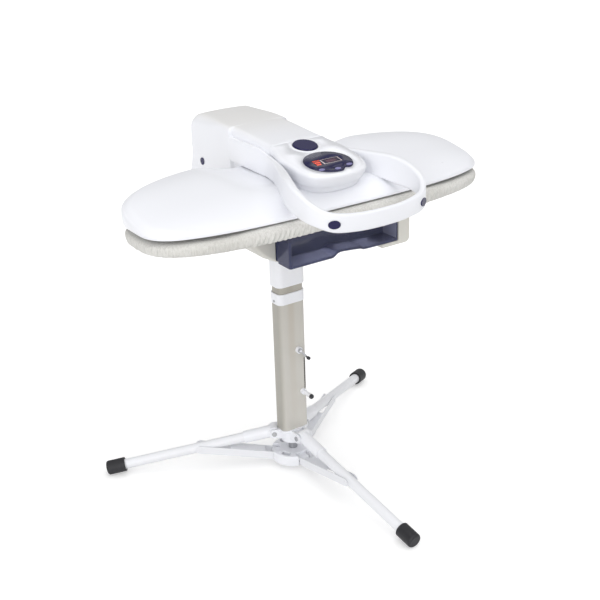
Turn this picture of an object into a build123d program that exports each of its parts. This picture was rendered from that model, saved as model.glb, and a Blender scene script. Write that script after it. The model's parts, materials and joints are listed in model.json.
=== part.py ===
from build123d import *
import math
import os

# Steam ironing press on a folding tripod stand, in millimetres.
# +Z is up, -Y is the front with the handle, +X is the right seen from the front.
# The origin is on the floor under the centre of the pillar.

os.makedirs("parts", exist_ok=True)

# Running and seating clearances
running_gap = 0.05
sliding_gap = 0.25
seat_gap = 0.3
moving_gap = 1.5

# Pillar, standing on the upper hub
pillar_width = 78
pillar_depth = 47
pillar_corner = 14
pillar_length = 380
tube_wall = 1.5
hub_radius = 30
hub_bottom = 70
hub_height = 40
hub_top = hub_bottom + hub_height
hub_rim = 6
pillar_top = hub_top + pillar_length
collar_overlap = 15
collar_height = 29
collar_bottom = pillar_top - collar_overlap
collar_top = collar_bottom + collar_height
collar_extra = 1.5

# Column that slides in the pillar, with its rack behind the pillar's slot
column_insertion = 300
column_bottom = pillar_top - column_insertion
head_gap = 18
head_length = 156
head_bottom = collar_top + head_gap
head_width = pillar_width + 6
head_depth = pillar_depth + 3
head_corner = pillar_corner + 2
rack_x = pillar_width / 2 - 8
rack_slot_width = 4.5
rack_slot_length = 91
rack_slot_drop = 178
rack_slot_top = pillar_top - rack_slot_drop
rack_slot_bottom = rack_slot_top - rack_slot_length
rack_margin = 12
rack_bar = 9
rack_pitch = 7
tooth_height = 3.5

# Height lever above the slot and clamp knob below it, on the pillar's front
lever_pivot_x = rack_x - 19
lever_pivot_height = rack_slot_top + 28
lever_end_x = rack_x + 3
lever_end_height = rack_slot_top + 2
lever_boss_radius = 9
lever_boss_height = 8
lever_pin_radius = 3
lever_eye_radius = 6
lever_thickness = 4
knob_x = rack_x - 9
knob_height = rack_slot_bottom - 5
knob_boss_radius = 8
knob_boss_length = 9
knob_stem_radius = 4
knob_length = 45
knob_tip_radius = 6.5
knob_tip_length = 16

# Tripod legs
tripod_turn = 1.7
leg_azimuths = {"front": -90 + tripod_turn, "left": 150 + tripod_turn, "right": 30 + tripod_turn}
leg_tube_radius = 13.5
leg_tube_wall = 1.5
sleeve_radius = leg_tube_radius + 3.25
sleeve_length = 82
sleeve_tuck = 5.75
sleeve_rise = 2.75
leg_pivot_radius = pillar_width / 2 + sleeve_radius - sleeve_tuck
leg_pivot_height = hub_top - sleeve_radius + sleeve_rise
foot_reach = 447.5
foot_cap_radius = leg_tube_radius + 5.5
foot_cap_length = 50
foot_cap_fillet = 6
pin_radius = 4
pin_head_radius = 6.5
pin_head_height = 2
ear_thickness = 4.5
ear_tip_radius = 13

# The legs slope down until the rounded edge of the foot cap meets the floor
foot_fillet_arm = foot_cap_radius - foot_cap_fillet
leg_slope = math.degrees(math.atan2(leg_pivot_height - foot_cap_fillet - foot_fillet_arm, foot_reach))
leg_length = foot_reach / math.cos(math.radians(leg_slope)) - 2

# Struts: as long from pin to pin as the leg is from its pivot to the strut,
# so that the strut's inner pin stays below the leg's pivot through the fold
strut_length = 203
strut_wall = 2
strut_half_height = 11
strut_web_clearance = 2.25
strut_web_end = 176
strut_inner_half = leg_tube_radius + moving_gap
# The web starts where the strut has dropped clear of the leg's tube
strut_web_drop = leg_tube_radius + strut_half_height + strut_web_clearance
strut_web_start = strut_web_drop / math.sin(math.radians(2 * leg_slope))
inner_pin_height = leg_pivot_height - 2 * strut_length * math.sin(math.radians(leg_slope))

# Lower hub round the inner pins, and the post it slides on
post_radius = 12
post_wall = 1.5
post_top = collar_bottom - 20
lower_hub_height = 29
lower_hub_bottom = inner_pin_height - 13.15
lower_hub_core = leg_pivot_radius - 14
lower_hub_radius = leg_pivot_radius + 8
tongue_half = strut_inner_half - 3
tongue_tip_radius = 9

# Water tank, a drawer in the front of the base
tank_half_width = 153
tank_length = 197
tank_overhang = 57
tank_lid_thickness = 2.5
tank_wall = 2.5
tank_pocket_depth = 52
tank_pocket_drop = 15
tank_pocket_margin = 6
tank_floor_rise = 9
tank_lip_drop = 4
tank_corner = 5
bay_gap = 1
bay_wall = 2

# Press base, flared from the width of the tank's bay, with a tail for the hinge
base_front = -200
base_height = 76
base_bottom = head_bottom + head_length
base_top = base_bottom + base_height
base_wall = 2.5
base_corner = 16
cheek_width = 32
cheek_drop = 10
cheek_corner = 12
cheek_lip_width = 49
cheek_wall = 2.5
bay_half_width = tank_half_width + bay_gap
base_foot_half_width = bay_half_width + bay_wall
base_top_half_width = base_foot_half_width + 79
base_half_widths = {base_bottom: base_foot_half_width, base_bottom + 13: base_foot_half_width + 24,
                    base_bottom + 22: base_foot_half_width + 36, base_top - 14: base_top_half_width - 7,
                    base_top: base_top_half_width}
tank_front = base_front - tank_overhang
tank_rear = tank_front + tank_length
bay_rear = tank_rear + 4
tank_bottom = base_bottom + base_wall + bay_gap
tank_lid_top = base_top - 0.6
tank_pocket_top = tank_lid_top - tank_pocket_drop
tank_floor = tank_bottom + tank_wall
base_rear = bay_rear + 104
tail_half_width = 75
tail_end = 248
tail_bottom = base_bottom + 12
tail_corner = 12
base_plate_thickness = 3
board_platform_height = 3

# Ironing board and pad
board_centre_y = -122
board_half_length = 461
board_half_depth = 158
board_exponent = 3.05
fabric_thickness = 2.5
pad_thickness = 34
pad_bottom = base_top + base_plate_thickness + 0.5
pad_edge_top = pad_bottom + pad_thickness
pad_crown = 1.8
hem_inset = 34
tray_thickness = 5
tray_inset = 8

# Heated head cover, an oval dome that leans towards the front
plate_gap = 0.7
plate_bottom = pad_edge_top + pad_crown + plate_gap
plate_thickness = 8
cover_centre_y = board_centre_y - 5
cover_half_length = board_half_length + 2
cover_front_depth = board_half_depth - 5
cover_rear_depth = board_half_depth + 25
cover_exponent = 3.05
cover_seam = plate_bottom + 2
cover_lip = 24.5
cover_rise = 30
cover_lean = 0.198
cover_rim_radius = 14
cover_wall = 3
dome_exponent = 2.46
window_half_width = 71
window_front = -95
window_rear = 20

# Heated plate with its element and steam chamber
plate_inset = 17
plate_front_depth = cover_front_depth - 32
plate_top = plate_bottom + plate_thickness
element_radius = 4
element_length = 620
element_depth = 150
chamber_y = cover_centre_y + 20
chamber_length = 400
chamber_depth = 110
chamber_height = 14
chamber_wall = 3

# Arm housing
hinge_y = 245
hinge_height = plate_top
arm_half_width = 85
arm_neck_half_width = arm_half_width - 9
arm_wall = 3
arm_rear = 308
arm_bottom = base_top + 11
arm_step_y = 105
arm_front = -62
arm_top_front = cover_seam + 111
arm_top_middle = cover_seam + 119.5
arm_top_rear = cover_seam + 130
arm_middle_y = 60
arm_top_fillet = 10
arm_rear_fillet = 42
hinge_pin_radius = 7
hinge_cap_radius = 9.5
hinge_cap_height = 3

# Hinge bracket and steel frame inside the housing
pedestal_half = arm_neck_half_width - 16
bracket_front = 188
bracket_plate = 4
spring_wall = 4.6
frame_half = pedestal_half + 3
frame_thickness = 3
frame_foot = plate_top + chamber_height
frame_level = arm_top_front - 40

# Control pod
panel_tilt = 10.5
panel_y = -150
panel_height = cover_seam + 95
pod_half_width = arm_half_width + 5
pod_front = -250
pod_bottom = cover_seam + 28
pod_wall = 3
pod_corner = 28
pod_waist_y = -185
pod_cap_under = panel_height - 4.5
display_y = -193
display_length = 119
display_depth = 106
knob_ring_radius = 34
steam_button_y = -101
steam_button_radius = 30

# Handle
handle_thickness = 14
handle_front = -402
handle_root_y = -60
screw_spots = [(80, cover_seam + 82), (-20, cover_seam + 82)]
screw_radius = 2.5
screw_depth = 6
plug_angle = 29
plug_length = 27
plug_height = 19
plug_depth = 6
plug_spot = (121, -385, cover_seam + 16)


def keep(piece, name):
    """Label a finished piece and write it under its node name."""
    piece.part.label = name
    export_step(piece.part, f"parts/{name}.step")


def radial(azimuth, distance, height):
    """A point at a distance from the pillar's axis in the direction of a leg."""
    angle = math.radians(azimuth)
    return (distance * math.cos(angle), distance * math.sin(angle), height)


def leg_direction(azimuth, slope):
    """The unit vector that runs out from the hub at an azimuth, sloping down."""
    down = math.radians(slope)
    return Vector(*radial(azimuth, math.cos(down), -math.sin(down)))


def along_leg(azimuth, distance):
    """A point on a leg's axis, at a distance from its pivot."""
    return Vector(*radial(azimuth, leg_pivot_radius, leg_pivot_height)) + leg_direction(azimuth, leg_slope) * distance


def square_to_leg(azimuth, distance):
    """The plane across a leg at a distance from its pivot."""
    return Plane(origin=along_leg(azimuth, distance), x_dir=radial(azimuth + 90, 1, 0),
                 z_dir=leg_direction(azimuth, leg_slope))


def across_leg(azimuth, origin, x_dir, offset):
    """A plane that holds the leg's axis direction, moved sideways by an offset."""
    sideways = Vector(*radial(azimuth - 90, 1, 0))
    return Plane(origin=origin + sideways * offset, x_dir=x_dir, z_dir=sideways)


def oval_points(half_length, front_depth, rear_depth, exponent, stretch=1.0):
    """Points round an oval with blunt ends, as a superellipse, for a closed spline."""
    points = []
    steps = 24
    for step in range(steps):
        angle = 2 * math.pi * step / steps - math.pi / 2
        across = math.cos(angle)
        along = math.sin(angle)
        depth = rear_depth if along > 0 else front_depth
        x = half_length * math.copysign(abs(across) ** (2 / exponent), across)
        y = depth * math.copysign(abs(along) ** (2 / exponent), along)
        points.append((x, y * stretch))
    return points


# Stand: the pillar with its slot, and what is fixed to it

with BuildPart() as pillar:
    with BuildSketch(Plane.XY.offset(hub_top)):
        RectangleRounded(pillar_width, pillar_depth, pillar_corner)
        RectangleRounded(pillar_width - 2 * tube_wall, pillar_depth - 2 * tube_wall, pillar_corner - tube_wall,
                         mode=Mode.SUBTRACT)
    extrude(amount=pillar_top - hub_top)
    with BuildSketch(Plane.XZ):
        with Locations((rack_x, (rack_slot_bottom + rack_slot_top) / 2)):
            SlotOverall(rack_slot_top - rack_slot_bottom, rack_slot_width, rotation=90)
    extrude(amount=pillar_depth, mode=Mode.SUBTRACT)
    with BuildSketch(Plane.XZ):
        with Locations((knob_x, knob_height)):
            Circle(knob_stem_radius + sliding_gap)
    extrude(amount=pillar_depth, mode=Mode.SUBTRACT)
keep(pillar, "pillar")

ear_reach = leg_pivot_radius - 16

with BuildPart() as upper_hub:
    with BuildSketch(Plane.XY.offset(hub_bottom)):
        Circle(hub_radius)
    extrude(amount=hub_top - hub_bottom)
    with BuildSketch(Plane.XY.offset(hub_top - hub_rim)):
        RectangleRounded(pillar_width + 4, pillar_depth + 4, pillar_corner + 2)
    extrude(amount=hub_rim)
    # The plug that stands inside the foot of the pillar
    with BuildSketch(Plane.XY.offset(hub_top)):
        RectangleRounded(pillar_width - 2 * tube_wall, pillar_depth - 2 * tube_wall, pillar_corner - tube_wall)
    extrude(amount=40)
    for azimuth in leg_azimuths.values():
        pivot = Vector(*radial(azimuth, leg_pivot_radius, leg_pivot_height))
        outward = radial(azimuth, 1, 0)
        inner_face = sleeve_radius + moving_gap / 2
        for offset in (inner_face, -inner_face - ear_thickness):
            with BuildSketch(across_leg(azimuth, pivot, outward, offset)):
                Circle(ear_tip_radius)
                with Locations((-ear_reach / 2, 0)):
                    Rectangle(ear_reach, 2 * ear_tip_radius)
            extrude(amount=ear_thickness)
    for azimuth in leg_azimuths.values():
        pivot = Vector(*radial(azimuth, leg_pivot_radius, leg_pivot_height))
        outward = radial(azimuth, 1, 0)
        inner_face = sleeve_radius + moving_gap / 2
        # The gap that the leg's sleeve turns in
        with BuildSketch(across_leg(azimuth, pivot, outward, -inner_face)):
            Circle(sleeve_radius + moving_gap / 2)
            with Locations((leg_pivot_radius, 0)):
                Rectangle(2 * leg_pivot_radius, 4 * sleeve_radius)
            with Locations((leg_pivot_radius / 2, -leg_pivot_radius / 2)):
                Rectangle(leg_pivot_radius + 2 * inner_face, leg_pivot_radius)
        extrude(amount=2 * inner_face, mode=Mode.SUBTRACT)
        with BuildSketch(across_leg(azimuth, pivot, outward, -leg_pivot_radius)):
            Circle(pin_radius)
        extrude(amount=2 * leg_pivot_radius, mode=Mode.SUBTRACT)
    with BuildSketch(Plane.XY.offset(hub_bottom - 1)):
        Circle(post_radius + sliding_gap)
    extrude(amount=hub_top, mode=Mode.SUBTRACT)
keep(upper_hub, "upper_hub")

with BuildPart() as hub_pins:
    for azimuth in leg_azimuths.values():
        pivot = Vector(*radial(azimuth, leg_pivot_radius, leg_pivot_height))
        outward = radial(azimuth, 1, 0)
        half_span = sleeve_radius + moving_gap / 2 + ear_thickness
        with BuildSketch(across_leg(azimuth, pivot, outward, -half_span)):
            Circle(pin_radius)
        extrude(amount=2 * half_span)
        for offset in (half_span, -half_span - pin_head_height):
            with BuildSketch(across_leg(azimuth, pivot, outward, offset)):
                Circle(pin_head_radius)
            extrude(amount=pin_head_height)
keep(hub_pins, "hub_pins")

with BuildPart() as pillar_collar:
    with BuildSketch(Plane.XY.offset(collar_bottom)):
        RectangleRounded(pillar_width + 2 * collar_extra, pillar_depth + 2 * collar_extra, pillar_corner + collar_extra)
    extrude(amount=collar_top - collar_bottom)
    top_rim = pillar_collar.edges().group_by(Axis.Z)[-1]
    fillet(top_rim, radius=1.2)
    with BuildSketch(Plane.XY.offset(collar_bottom)):
        RectangleRounded(pillar_width, pillar_depth, pillar_corner)
    extrude(amount=pillar_top - collar_bottom, mode=Mode.SUBTRACT)
    with BuildSketch(Plane.XY.offset(pillar_top)):
        RectangleRounded(pillar_width - 2 * tube_wall, pillar_depth - 2 * tube_wall, pillar_corner - tube_wall)
    extrude(amount=collar_top, mode=Mode.SUBTRACT)
keep(pillar_collar, "pillar_collar")

with BuildPart() as collar_screw:
    with BuildSketch(Plane.YZ.offset(-pillar_width / 2 - collar_extra)):
        with Locations((0, (collar_bottom + pillar_top) / 2)):
            Circle(3.5)
    extrude(amount=-1.2)
    with BuildSketch(Plane.YZ.offset(-pillar_width / 2 - collar_extra - 1.2)):
        with Locations((0, (collar_bottom + pillar_top) / 2)):
            Rectangle(4.5, 0.9)
            Rectangle(0.9, 4.5)
    extrude(amount=0.7, mode=Mode.SUBTRACT)
keep(collar_screw, "collar_screw")

pillar_front = -pillar_depth / 2

with BuildPart() as pillar_bosses:
    with BuildSketch(Plane.XZ.offset(-pillar_front)):
        with Locations((lever_pivot_x, lever_pivot_height)):
            Circle(lever_boss_radius)
    extrude(amount=lever_boss_height)
    with BuildSketch(Plane.XZ.offset(-pillar_front)):
        with Locations((lever_pivot_x, lever_pivot_height)):
            Circle(lever_pin_radius)
    extrude(amount=lever_boss_height + lever_thickness + 2)
    with BuildSketch(Plane.XZ.offset(-pillar_front - 3)):
        with Locations((knob_x, knob_height)):
            Circle(knob_boss_radius)
            Circle(knob_stem_radius + sliding_gap, mode=Mode.SUBTRACT)
    extrude(amount=knob_boss_length + 3)
    # The clamp boss reaches back to the rounded corner of the pillar
    with BuildSketch(Plane.XY.offset(knob_height - knob_boss_radius)):
        RectangleRounded(pillar_width, pillar_depth, pillar_corner)
    extrude(amount=2 * knob_boss_radius, mode=Mode.SUBTRACT)
keep(pillar_bosses, "pillar_bosses")

with BuildPart() as height_lever:
    reach = Vector(lever_end_x - lever_pivot_x, lever_end_height - lever_pivot_height)
    lever_angle = math.degrees(math.atan2(reach.Y, reach.X))
    with BuildSketch(Plane.XZ.offset(-pillar_front + lever_boss_height + 0.2)):
        with Locations((lever_pivot_x, lever_pivot_height)):
            Circle(lever_eye_radius)
        with Locations((lever_pivot_x + reach.X / 2, lever_pivot_height + reach.Y / 2)):
            SlotOverall(reach.length + 5, 5, rotation=lever_angle)
        with Locations((lever_pivot_x, lever_pivot_height)):
            Circle(lever_pin_radius + running_gap, mode=Mode.SUBTRACT)
    extrude(amount=lever_thickness)
keep(height_lever, "height_lever")

with BuildPart() as lever_tip:
    tip_y = -pillar_front + lever_boss_height + 0.2
    with BuildSketch(Plane.XZ.offset(tip_y + lever_thickness)):
        with Locations((lever_end_x, lever_end_height)):
            Circle(4.5)
    extrude(amount=6)
    fillet(lever_tip.edges().group_by(Axis.Y)[0], radius=1.5)
keep(lever_tip, "lever_tip")

with BuildPart() as clamp_stem:
    with BuildSketch(Plane.XZ.offset(-pillar_front - tube_wall)):
        with Locations((knob_x, knob_height)):
            Circle(knob_stem_radius)
    extrude(amount=knob_length + tube_wall - knob_tip_length)
    with BuildSketch(Plane.XZ.offset(-pillar_front + knob_boss_length + 1)):
        with Locations((knob_x, knob_height)):
            Circle(knob_stem_radius + 1.5)
    extrude(amount=knob_length - knob_boss_length - knob_tip_length - 1)
keep(clamp_stem, "clamp_stem")

with BuildPart() as clamp_tip:
    with BuildSketch(Plane.XZ.offset(-pillar_front + knob_length - knob_tip_length)):
        with Locations((knob_x, knob_height)):
            Circle(knob_tip_radius)
    extrude(amount=knob_tip_length)
    fillet(clamp_tip.edges().group_by(Axis.Y)[0], radius=3)
keep(clamp_tip, "clamp_tip")


# Tripod: each leg with its sleeve, foot cap and strut

for side, azimuth in leg_azimuths.items():
    pivot = along_leg(azimuth, 0)
    cap_start = leg_length - foot_cap_length + foot_cap_fillet

    with BuildPart() as leg_tube:
        with BuildSketch(square_to_leg(azimuth, sleeve_radius)):
            Circle(leg_tube_radius)
        extrude(amount=leg_length - sleeve_radius)
        with BuildSketch(square_to_leg(azimuth, sleeve_radius)):
            Circle(leg_tube_radius - leg_tube_wall)
        extrude(amount=leg_length - sleeve_radius, mode=Mode.SUBTRACT)
        # The cross pin that the strut turns on is welded through the tube
        with BuildSketch(across_leg(azimuth, along_leg(azimuth, strut_length), radial(azimuth, 1, 0),
                                    -strut_inner_half - strut_wall - 1)):
            Circle(pin_radius)
        extrude(amount=2 * (strut_inner_half + strut_wall + 1))
    keep(leg_tube, f"{side}_leg")

    with BuildPart() as leg_sleeve:
        with BuildSketch(square_to_leg(azimuth, 0)):
            Circle(sleeve_radius)
        extrude(amount=sleeve_length)
        # The inner end is rounded about the pivot pin
        with BuildSketch(across_leg(azimuth, pivot, radial(azimuth, 1, 0), -sleeve_radius + 2)):
            Circle(sleeve_radius)
        extrude(amount=2 * sleeve_radius - 4)
        with BuildSketch(square_to_leg(azimuth, sleeve_radius)):
            Circle(leg_tube_radius)
        extrude(amount=sleeve_length, mode=Mode.SUBTRACT)
        with BuildSketch(across_leg(azimuth, pivot, radial(azimuth, 1, 0), -leg_pivot_radius)):
            Circle(pin_radius + running_gap)
        extrude(amount=2 * leg_pivot_radius, mode=Mode.SUBTRACT)
    keep(leg_sleeve, f"{side}_leg_sleeve")

    with BuildPart() as foot_cap:
        with BuildSketch(square_to_leg(azimuth, cap_start)):
            Circle(foot_cap_radius)
        extrude(amount=foot_cap_length)
        rims = foot_cap.edges().filter_by(GeomType.CIRCLE)
        fillet(rims.sort_by_distance(along_leg(azimuth, cap_start + foot_cap_length))[0], radius=foot_cap_fillet)
        with BuildSketch(square_to_leg(azimuth, cap_start)):
            Circle(leg_tube_radius)
        extrude(amount=leg_length - cap_start, mode=Mode.SUBTRACT)
    keep(foot_cap, f"{side}_foot_cap")

    outer_pin = along_leg(azimuth, strut_length)
    inner_pin = Vector(*radial(azimuth, leg_pivot_radius, inner_pin_height))
    inward = (inner_pin - outer_pin).normalized()

    with BuildPart() as strut:
        for offset in (strut_inner_half, -strut_inner_half - strut_wall):
            with BuildSketch(across_leg(azimuth, outer_pin, inward, offset)):
                with Locations((strut_length / 2, 0)):
                    SlotCenterToCenter(strut_length, 2 * strut_half_height)
                with Locations((0, 0), (strut_length, 0)):
                    Circle(pin_radius + running_gap, mode=Mode.SUBTRACT)
            extrude(amount=strut_wall)
        # The web joins the two cheeks along their upper edges
        upper_edge = across_leg(azimuth, outer_pin, inward, 0)
        rise = 1 if upper_edge.y_dir.Z > 0 else -1
        with BuildSketch(across_leg(azimuth, outer_pin, inward, -strut_inner_half - strut_wall)):
            with Locations(((strut_web_start + strut_web_end) / 2, rise * (strut_half_height - strut_wall / 2))):
                Rectangle(strut_web_end - strut_web_start, strut_wall)
        extrude(amount=2 * (strut_inner_half + strut_wall))
    keep(strut, f"{side}_strut")

with BuildPart() as lower_hub:
    with BuildSketch(Plane.XY.offset(lower_hub_bottom)):
        Circle(lower_hub_radius)
    extrude(amount=lower_hub_height)
    fillet(lower_hub.edges(), radius=3)
    for azimuth in leg_azimuths.values():
        inner_pin = Vector(*radial(azimuth, leg_pivot_radius, inner_pin_height))
        outward = radial(azimuth, 1, 0)
        slot_half = strut_inner_half + strut_wall + moving_gap + 1
        with BuildSketch(across_leg(azimuth, inner_pin, outward, -slot_half)):
            with Locations((lower_hub_core - leg_pivot_radius + lower_hub_radius / 2, 0)):
                Rectangle(lower_hub_radius, 4 * lower_hub_height)
        extrude(amount=2 * slot_half, mode=Mode.SUBTRACT)
    for azimuth in leg_azimuths.values():
        inner_pin = Vector(*radial(azimuth, leg_pivot_radius, inner_pin_height))
        outward = radial(azimuth, 1, 0)
        with BuildSketch(across_leg(azimuth, inner_pin, outward, -tongue_half)):
            Circle(tongue_tip_radius)
            with Locations((-leg_pivot_radius / 4, 0)):
                Rectangle(leg_pivot_radius / 2, 2 * tongue_tip_radius)
        extrude(amount=2 * tongue_half)
        with BuildSketch(across_leg(azimuth, inner_pin, outward, -tongue_half)):
            Circle(pin_radius)
        extrude(amount=2 * tongue_half, mode=Mode.SUBTRACT)
    # Pockets that lighten the moulding, open at the top
    pocket_turn = tripod_turn + 30
    with BuildSketch(Plane.XY.offset(lower_hub_bottom + 6)):
        with PolarLocations(0, 3, start_angle=pocket_turn + 60):
            with Locations((lower_hub_core + 6, 0)):
                Rectangle(14, 24)
    extrude(amount=lower_hub_height, mode=Mode.SUBTRACT)
    with BuildSketch(Plane.XY.offset(lower_hub_bottom)):
        Circle(post_radius)
    extrude(amount=lower_hub_height, mode=Mode.SUBTRACT)
keep(lower_hub, "lower_hub")

with BuildPart() as lower_pins:
    for azimuth in leg_azimuths.values():
        inner_pin = Vector(*radial(azimuth, leg_pivot_radius, inner_pin_height))
        half_span = strut_inner_half + strut_wall + 1
        with BuildSketch(across_leg(azimuth, inner_pin, radial(azimuth, 1, 0), -half_span)):
            Circle(pin_radius)
        extrude(amount=2 * half_span)
keep(lower_pins, "lower_pins")

with BuildPart() as hub_post:
    with BuildSketch(Plane.XY.offset(lower_hub_bottom + 2)):
        Circle(post_radius)
        Circle(post_radius - post_wall, mode=Mode.SUBTRACT)
    extrude(amount=post_top - lower_hub_bottom - 2)
keep(hub_post, "hub_post")


# Column: slides up out of the pillar and carries the press

column_width = pillar_width - 2 * tube_wall - 2 * sliding_gap
column_depth = pillar_depth - 2 * tube_wall - 2 * sliding_gap
column_corner = pillar_corner - tube_wall - sliding_gap
column_top = base_bottom - 8
rack_bottom = rack_slot_bottom - rack_margin
rack_top = rack_slot_top + rack_margin

with BuildPart() as inner_column:
    with BuildSketch(Plane.XY.offset(column_bottom)):
        RectangleRounded(column_width, column_depth, column_corner)
        RectangleRounded(column_width - 2 * tube_wall, column_depth - 2 * tube_wall, column_corner - tube_wall,
                         mode=Mode.SUBTRACT)
    extrude(amount=column_top - column_bottom)
    with BuildSketch(Plane.XZ):
        with Locations((rack_x, (rack_bottom + rack_top) / 2)):
            Rectangle(rack_slot_width + 1, rack_top - rack_bottom)
    extrude(amount=column_depth, mode=Mode.SUBTRACT)
keep(inner_column, "inner_column")

with BuildPart() as height_rack:
    with BuildSketch(Plane.XY.offset(rack_bottom)):
        with Locations((rack_x, (rack_bar + 3 - column_depth) / 2)):
            Rectangle(rack_bar, rack_bar)
        RectangleRounded(column_width - 2 * tube_wall, column_depth - 2 * tube_wall, column_corner - tube_wall,
                         mode=Mode.INTERSECT)
    extrude(amount=rack_top - rack_bottom)
    tooth_count = int((rack_top - rack_bottom - 4) // rack_pitch)
    for number in range(tooth_count):
        with BuildSketch(Plane.XY.offset(rack_bottom + 3 + number * rack_pitch)):
            with Locations((rack_x, -column_depth / 2 + 4)):
                Rectangle(rack_slot_width, 8)
            RectangleRounded(column_width - 0.4, column_depth - 0.4, column_corner - 0.2, mode=Mode.INTERSECT)
        extrude(amount=tooth_height)
keep(height_rack, "height_rack")

with BuildPart() as column_head:
    with BuildSketch(Plane.XY.offset(head_bottom)):
        RectangleRounded(head_width, head_depth, head_corner)
    extrude(amount=base_bottom - head_bottom)
    fillet(column_head.edges().group_by(Axis.Z)[0], radius=2)
    with BuildSketch(Plane.XY.offset(head_bottom)):
        RectangleRounded(column_width, column_depth, column_corner)
    extrude(amount=column_top - head_bottom, mode=Mode.SUBTRACT)
keep(column_head, "column_head")


# Press base: a flared hull with a bay for the tank and a tail for the hinge

tail_join = 20
tail_length = tail_end - base_rear + tail_join
tail_middle_y = tail_end - tail_length / 2
inlet_x = -35
inlet_height = tail_bottom + 24
inlet_width = 28
inlet_opening_height = 22

with BuildPart() as base_shell:
    middle_y = (base_front + base_rear) / 2
    for height, half_width in base_half_widths.items():
        with BuildSketch(Plane.XY.offset(height)):
            with Locations((0, middle_y)):
                RectangleRounded(2 * half_width, base_rear - base_front, base_corner)
    loft(ruled=True)
    with BuildSketch(Plane.XY.offset(tail_bottom)):
        with Locations((0, tail_middle_y)):
            Rectangle(2 * tail_half_width, tail_length)
    extrude(amount=base_top - tail_bottom)
    fillet(base_shell.edges().filter_by(Axis.Z).group_by(Axis.Y)[-1], radius=tail_corner)
    for height, half_width in base_half_widths.items():
        floor_height = max(height, base_bottom + base_wall)
        with BuildSketch(Plane.XY.offset(floor_height)):
            with Locations((0, middle_y)):
                RectangleRounded(2 * (half_width - base_wall - 1), base_rear - base_front - 2 * base_wall,
                                 base_corner - base_wall)
    loft(ruled=True, mode=Mode.SUBTRACT)
    with BuildSketch(Plane.XY.offset(tail_bottom + base_wall)):
        with Locations((0, tail_middle_y)):
            Rectangle(2 * (tail_half_width - base_wall), tail_length - 2 * base_wall)
    extrude(amount=base_top - tail_bottom, mode=Mode.SUBTRACT)
    # Walls of the tank bay, and its mouth in the front
    with BuildSketch(Plane.XY.offset(base_bottom + base_wall)):
        with Locations((0, (base_front + bay_rear) / 2)):
            Rectangle(2 * base_foot_half_width, bay_rear - base_front)
            Rectangle(2 * bay_half_width, bay_rear - base_front + 2 * base_wall, mode=Mode.SUBTRACT)
    extrude(amount=base_top - base_bottom - base_wall)
    with BuildSketch(Plane.XZ.offset(-base_front - base_wall - 20)):
        with Locations((0, (base_bottom + base_wall + base_top) / 2)):
            Rectangle(2 * bay_half_width, base_top - base_bottom - base_wall)
    extrude(amount=base_wall + 40, mode=Mode.SUBTRACT)
    # Cheek beside the tank's front at the right end, with a lip under the tank's corner
    cheek_bottom = base_bottom - cheek_drop
    cheek_outer_x = bay_half_width + cheek_width
    cheek_lip_x = bay_half_width - cheek_lip_width
    cheek_lip_top = tank_bottom - tank_lip_drop - bay_gap
    with BuildSketch(Plane.XZ.offset(-tank_front)):
        with BuildLine():
            Polyline((bay_half_width, base_top), (bay_half_width, cheek_lip_top), (cheek_lip_x, cheek_lip_top),
                     (cheek_lip_x, cheek_bottom), (cheek_outer_x, cheek_bottom), (cheek_outer_x, base_top),
                     close=True)
        cheek_face = make_face()
        outer_corner = cheek_face.vertices().group_by(Axis.Z)[0].sort_by(Axis.X)[-1]
        fillet(outer_corner, radius=cheek_corner)
    extrude(amount=-(base_front + base_wall / 2 - tank_front))
    with BuildSketch(Plane.XY.offset(cheek_bottom + cheek_corner / 2)):
        with Locations((bay_half_width + cheek_width / 2, (tank_front + base_front) / 2)):
            Rectangle(cheek_width - 2 * cheek_wall, tank_overhang - 2 * cheek_wall)
    extrude(amount=base_top - cheek_bottom, mode=Mode.SUBTRACT)
    # Socket opening for the power inlet
    with BuildSketch(Plane.XZ.offset(-tail_end - 5)):
        with Locations((inlet_x, inlet_height)):
            Rectangle(inlet_width, inlet_opening_height)
    extrude(amount=15, mode=Mode.SUBTRACT)
keep(base_shell, "base_shell")

inlet_flange = 2
inlet_length = 22
socket_depth = 15

with BuildPart() as power_inlet:
    with BuildSketch(Plane.XZ.offset(-tail_end - inlet_flange)):
        with Locations((inlet_x, inlet_height)):
            Rectangle(inlet_width + 4, inlet_opening_height + 4)
    extrude(amount=inlet_flange)
    with BuildSketch(Plane.XZ.offset(-tail_end)):
        with Locations((inlet_x, inlet_height)):
            Rectangle(inlet_width, inlet_opening_height)
    extrude(amount=inlet_length)
    with BuildSketch(Plane.XZ.offset(-tail_end - inlet_flange)):
        with Locations((inlet_x, inlet_height)):
            Rectangle(inlet_width - 4, inlet_opening_height - 4)
    extrude(amount=socket_depth + inlet_flange, mode=Mode.SUBTRACT)
    with BuildSketch(Plane.XZ.offset(-tail_end + socket_depth)):
        with Locations((inlet_x - 7, inlet_height - 2), (inlet_x + 7, inlet_height - 2), (inlet_x, inlet_height + 2)):
            Rectangle(2, 4)
    extrude(amount=2 - socket_depth)
keep(power_inlet, "power_inlet")

platform_front = base_front + 8
platform_rear = board_centre_y + board_half_depth - hem_inset - 14

with BuildPart() as base_plate:
    with BuildSketch(Plane.XY.offset(base_top)):
        with Locations((0, middle_y)):
            RectangleRounded(2 * base_top_half_width, base_rear - base_front, base_corner)
        with Locations((0, tail_middle_y)):
            Rectangle(2 * tail_half_width, tail_length)
    extrude(amount=base_plate_thickness)
    fillet(base_plate.edges().filter_by(Axis.Z).group_by(Axis.Y)[-1], radius=tail_corner)
    # The pressed platform that carries the board's tray, inside the fabric's hem
    with BuildSketch(Plane(origin=(0, (platform_front + platform_rear) / 2, base_top))):
        RectangleRounded(2 * base_top_half_width - 70, platform_rear - platform_front, 20)
    extrude(amount=base_plate_thickness + board_platform_height)
keep(base_plate, "base_plate")

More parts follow.
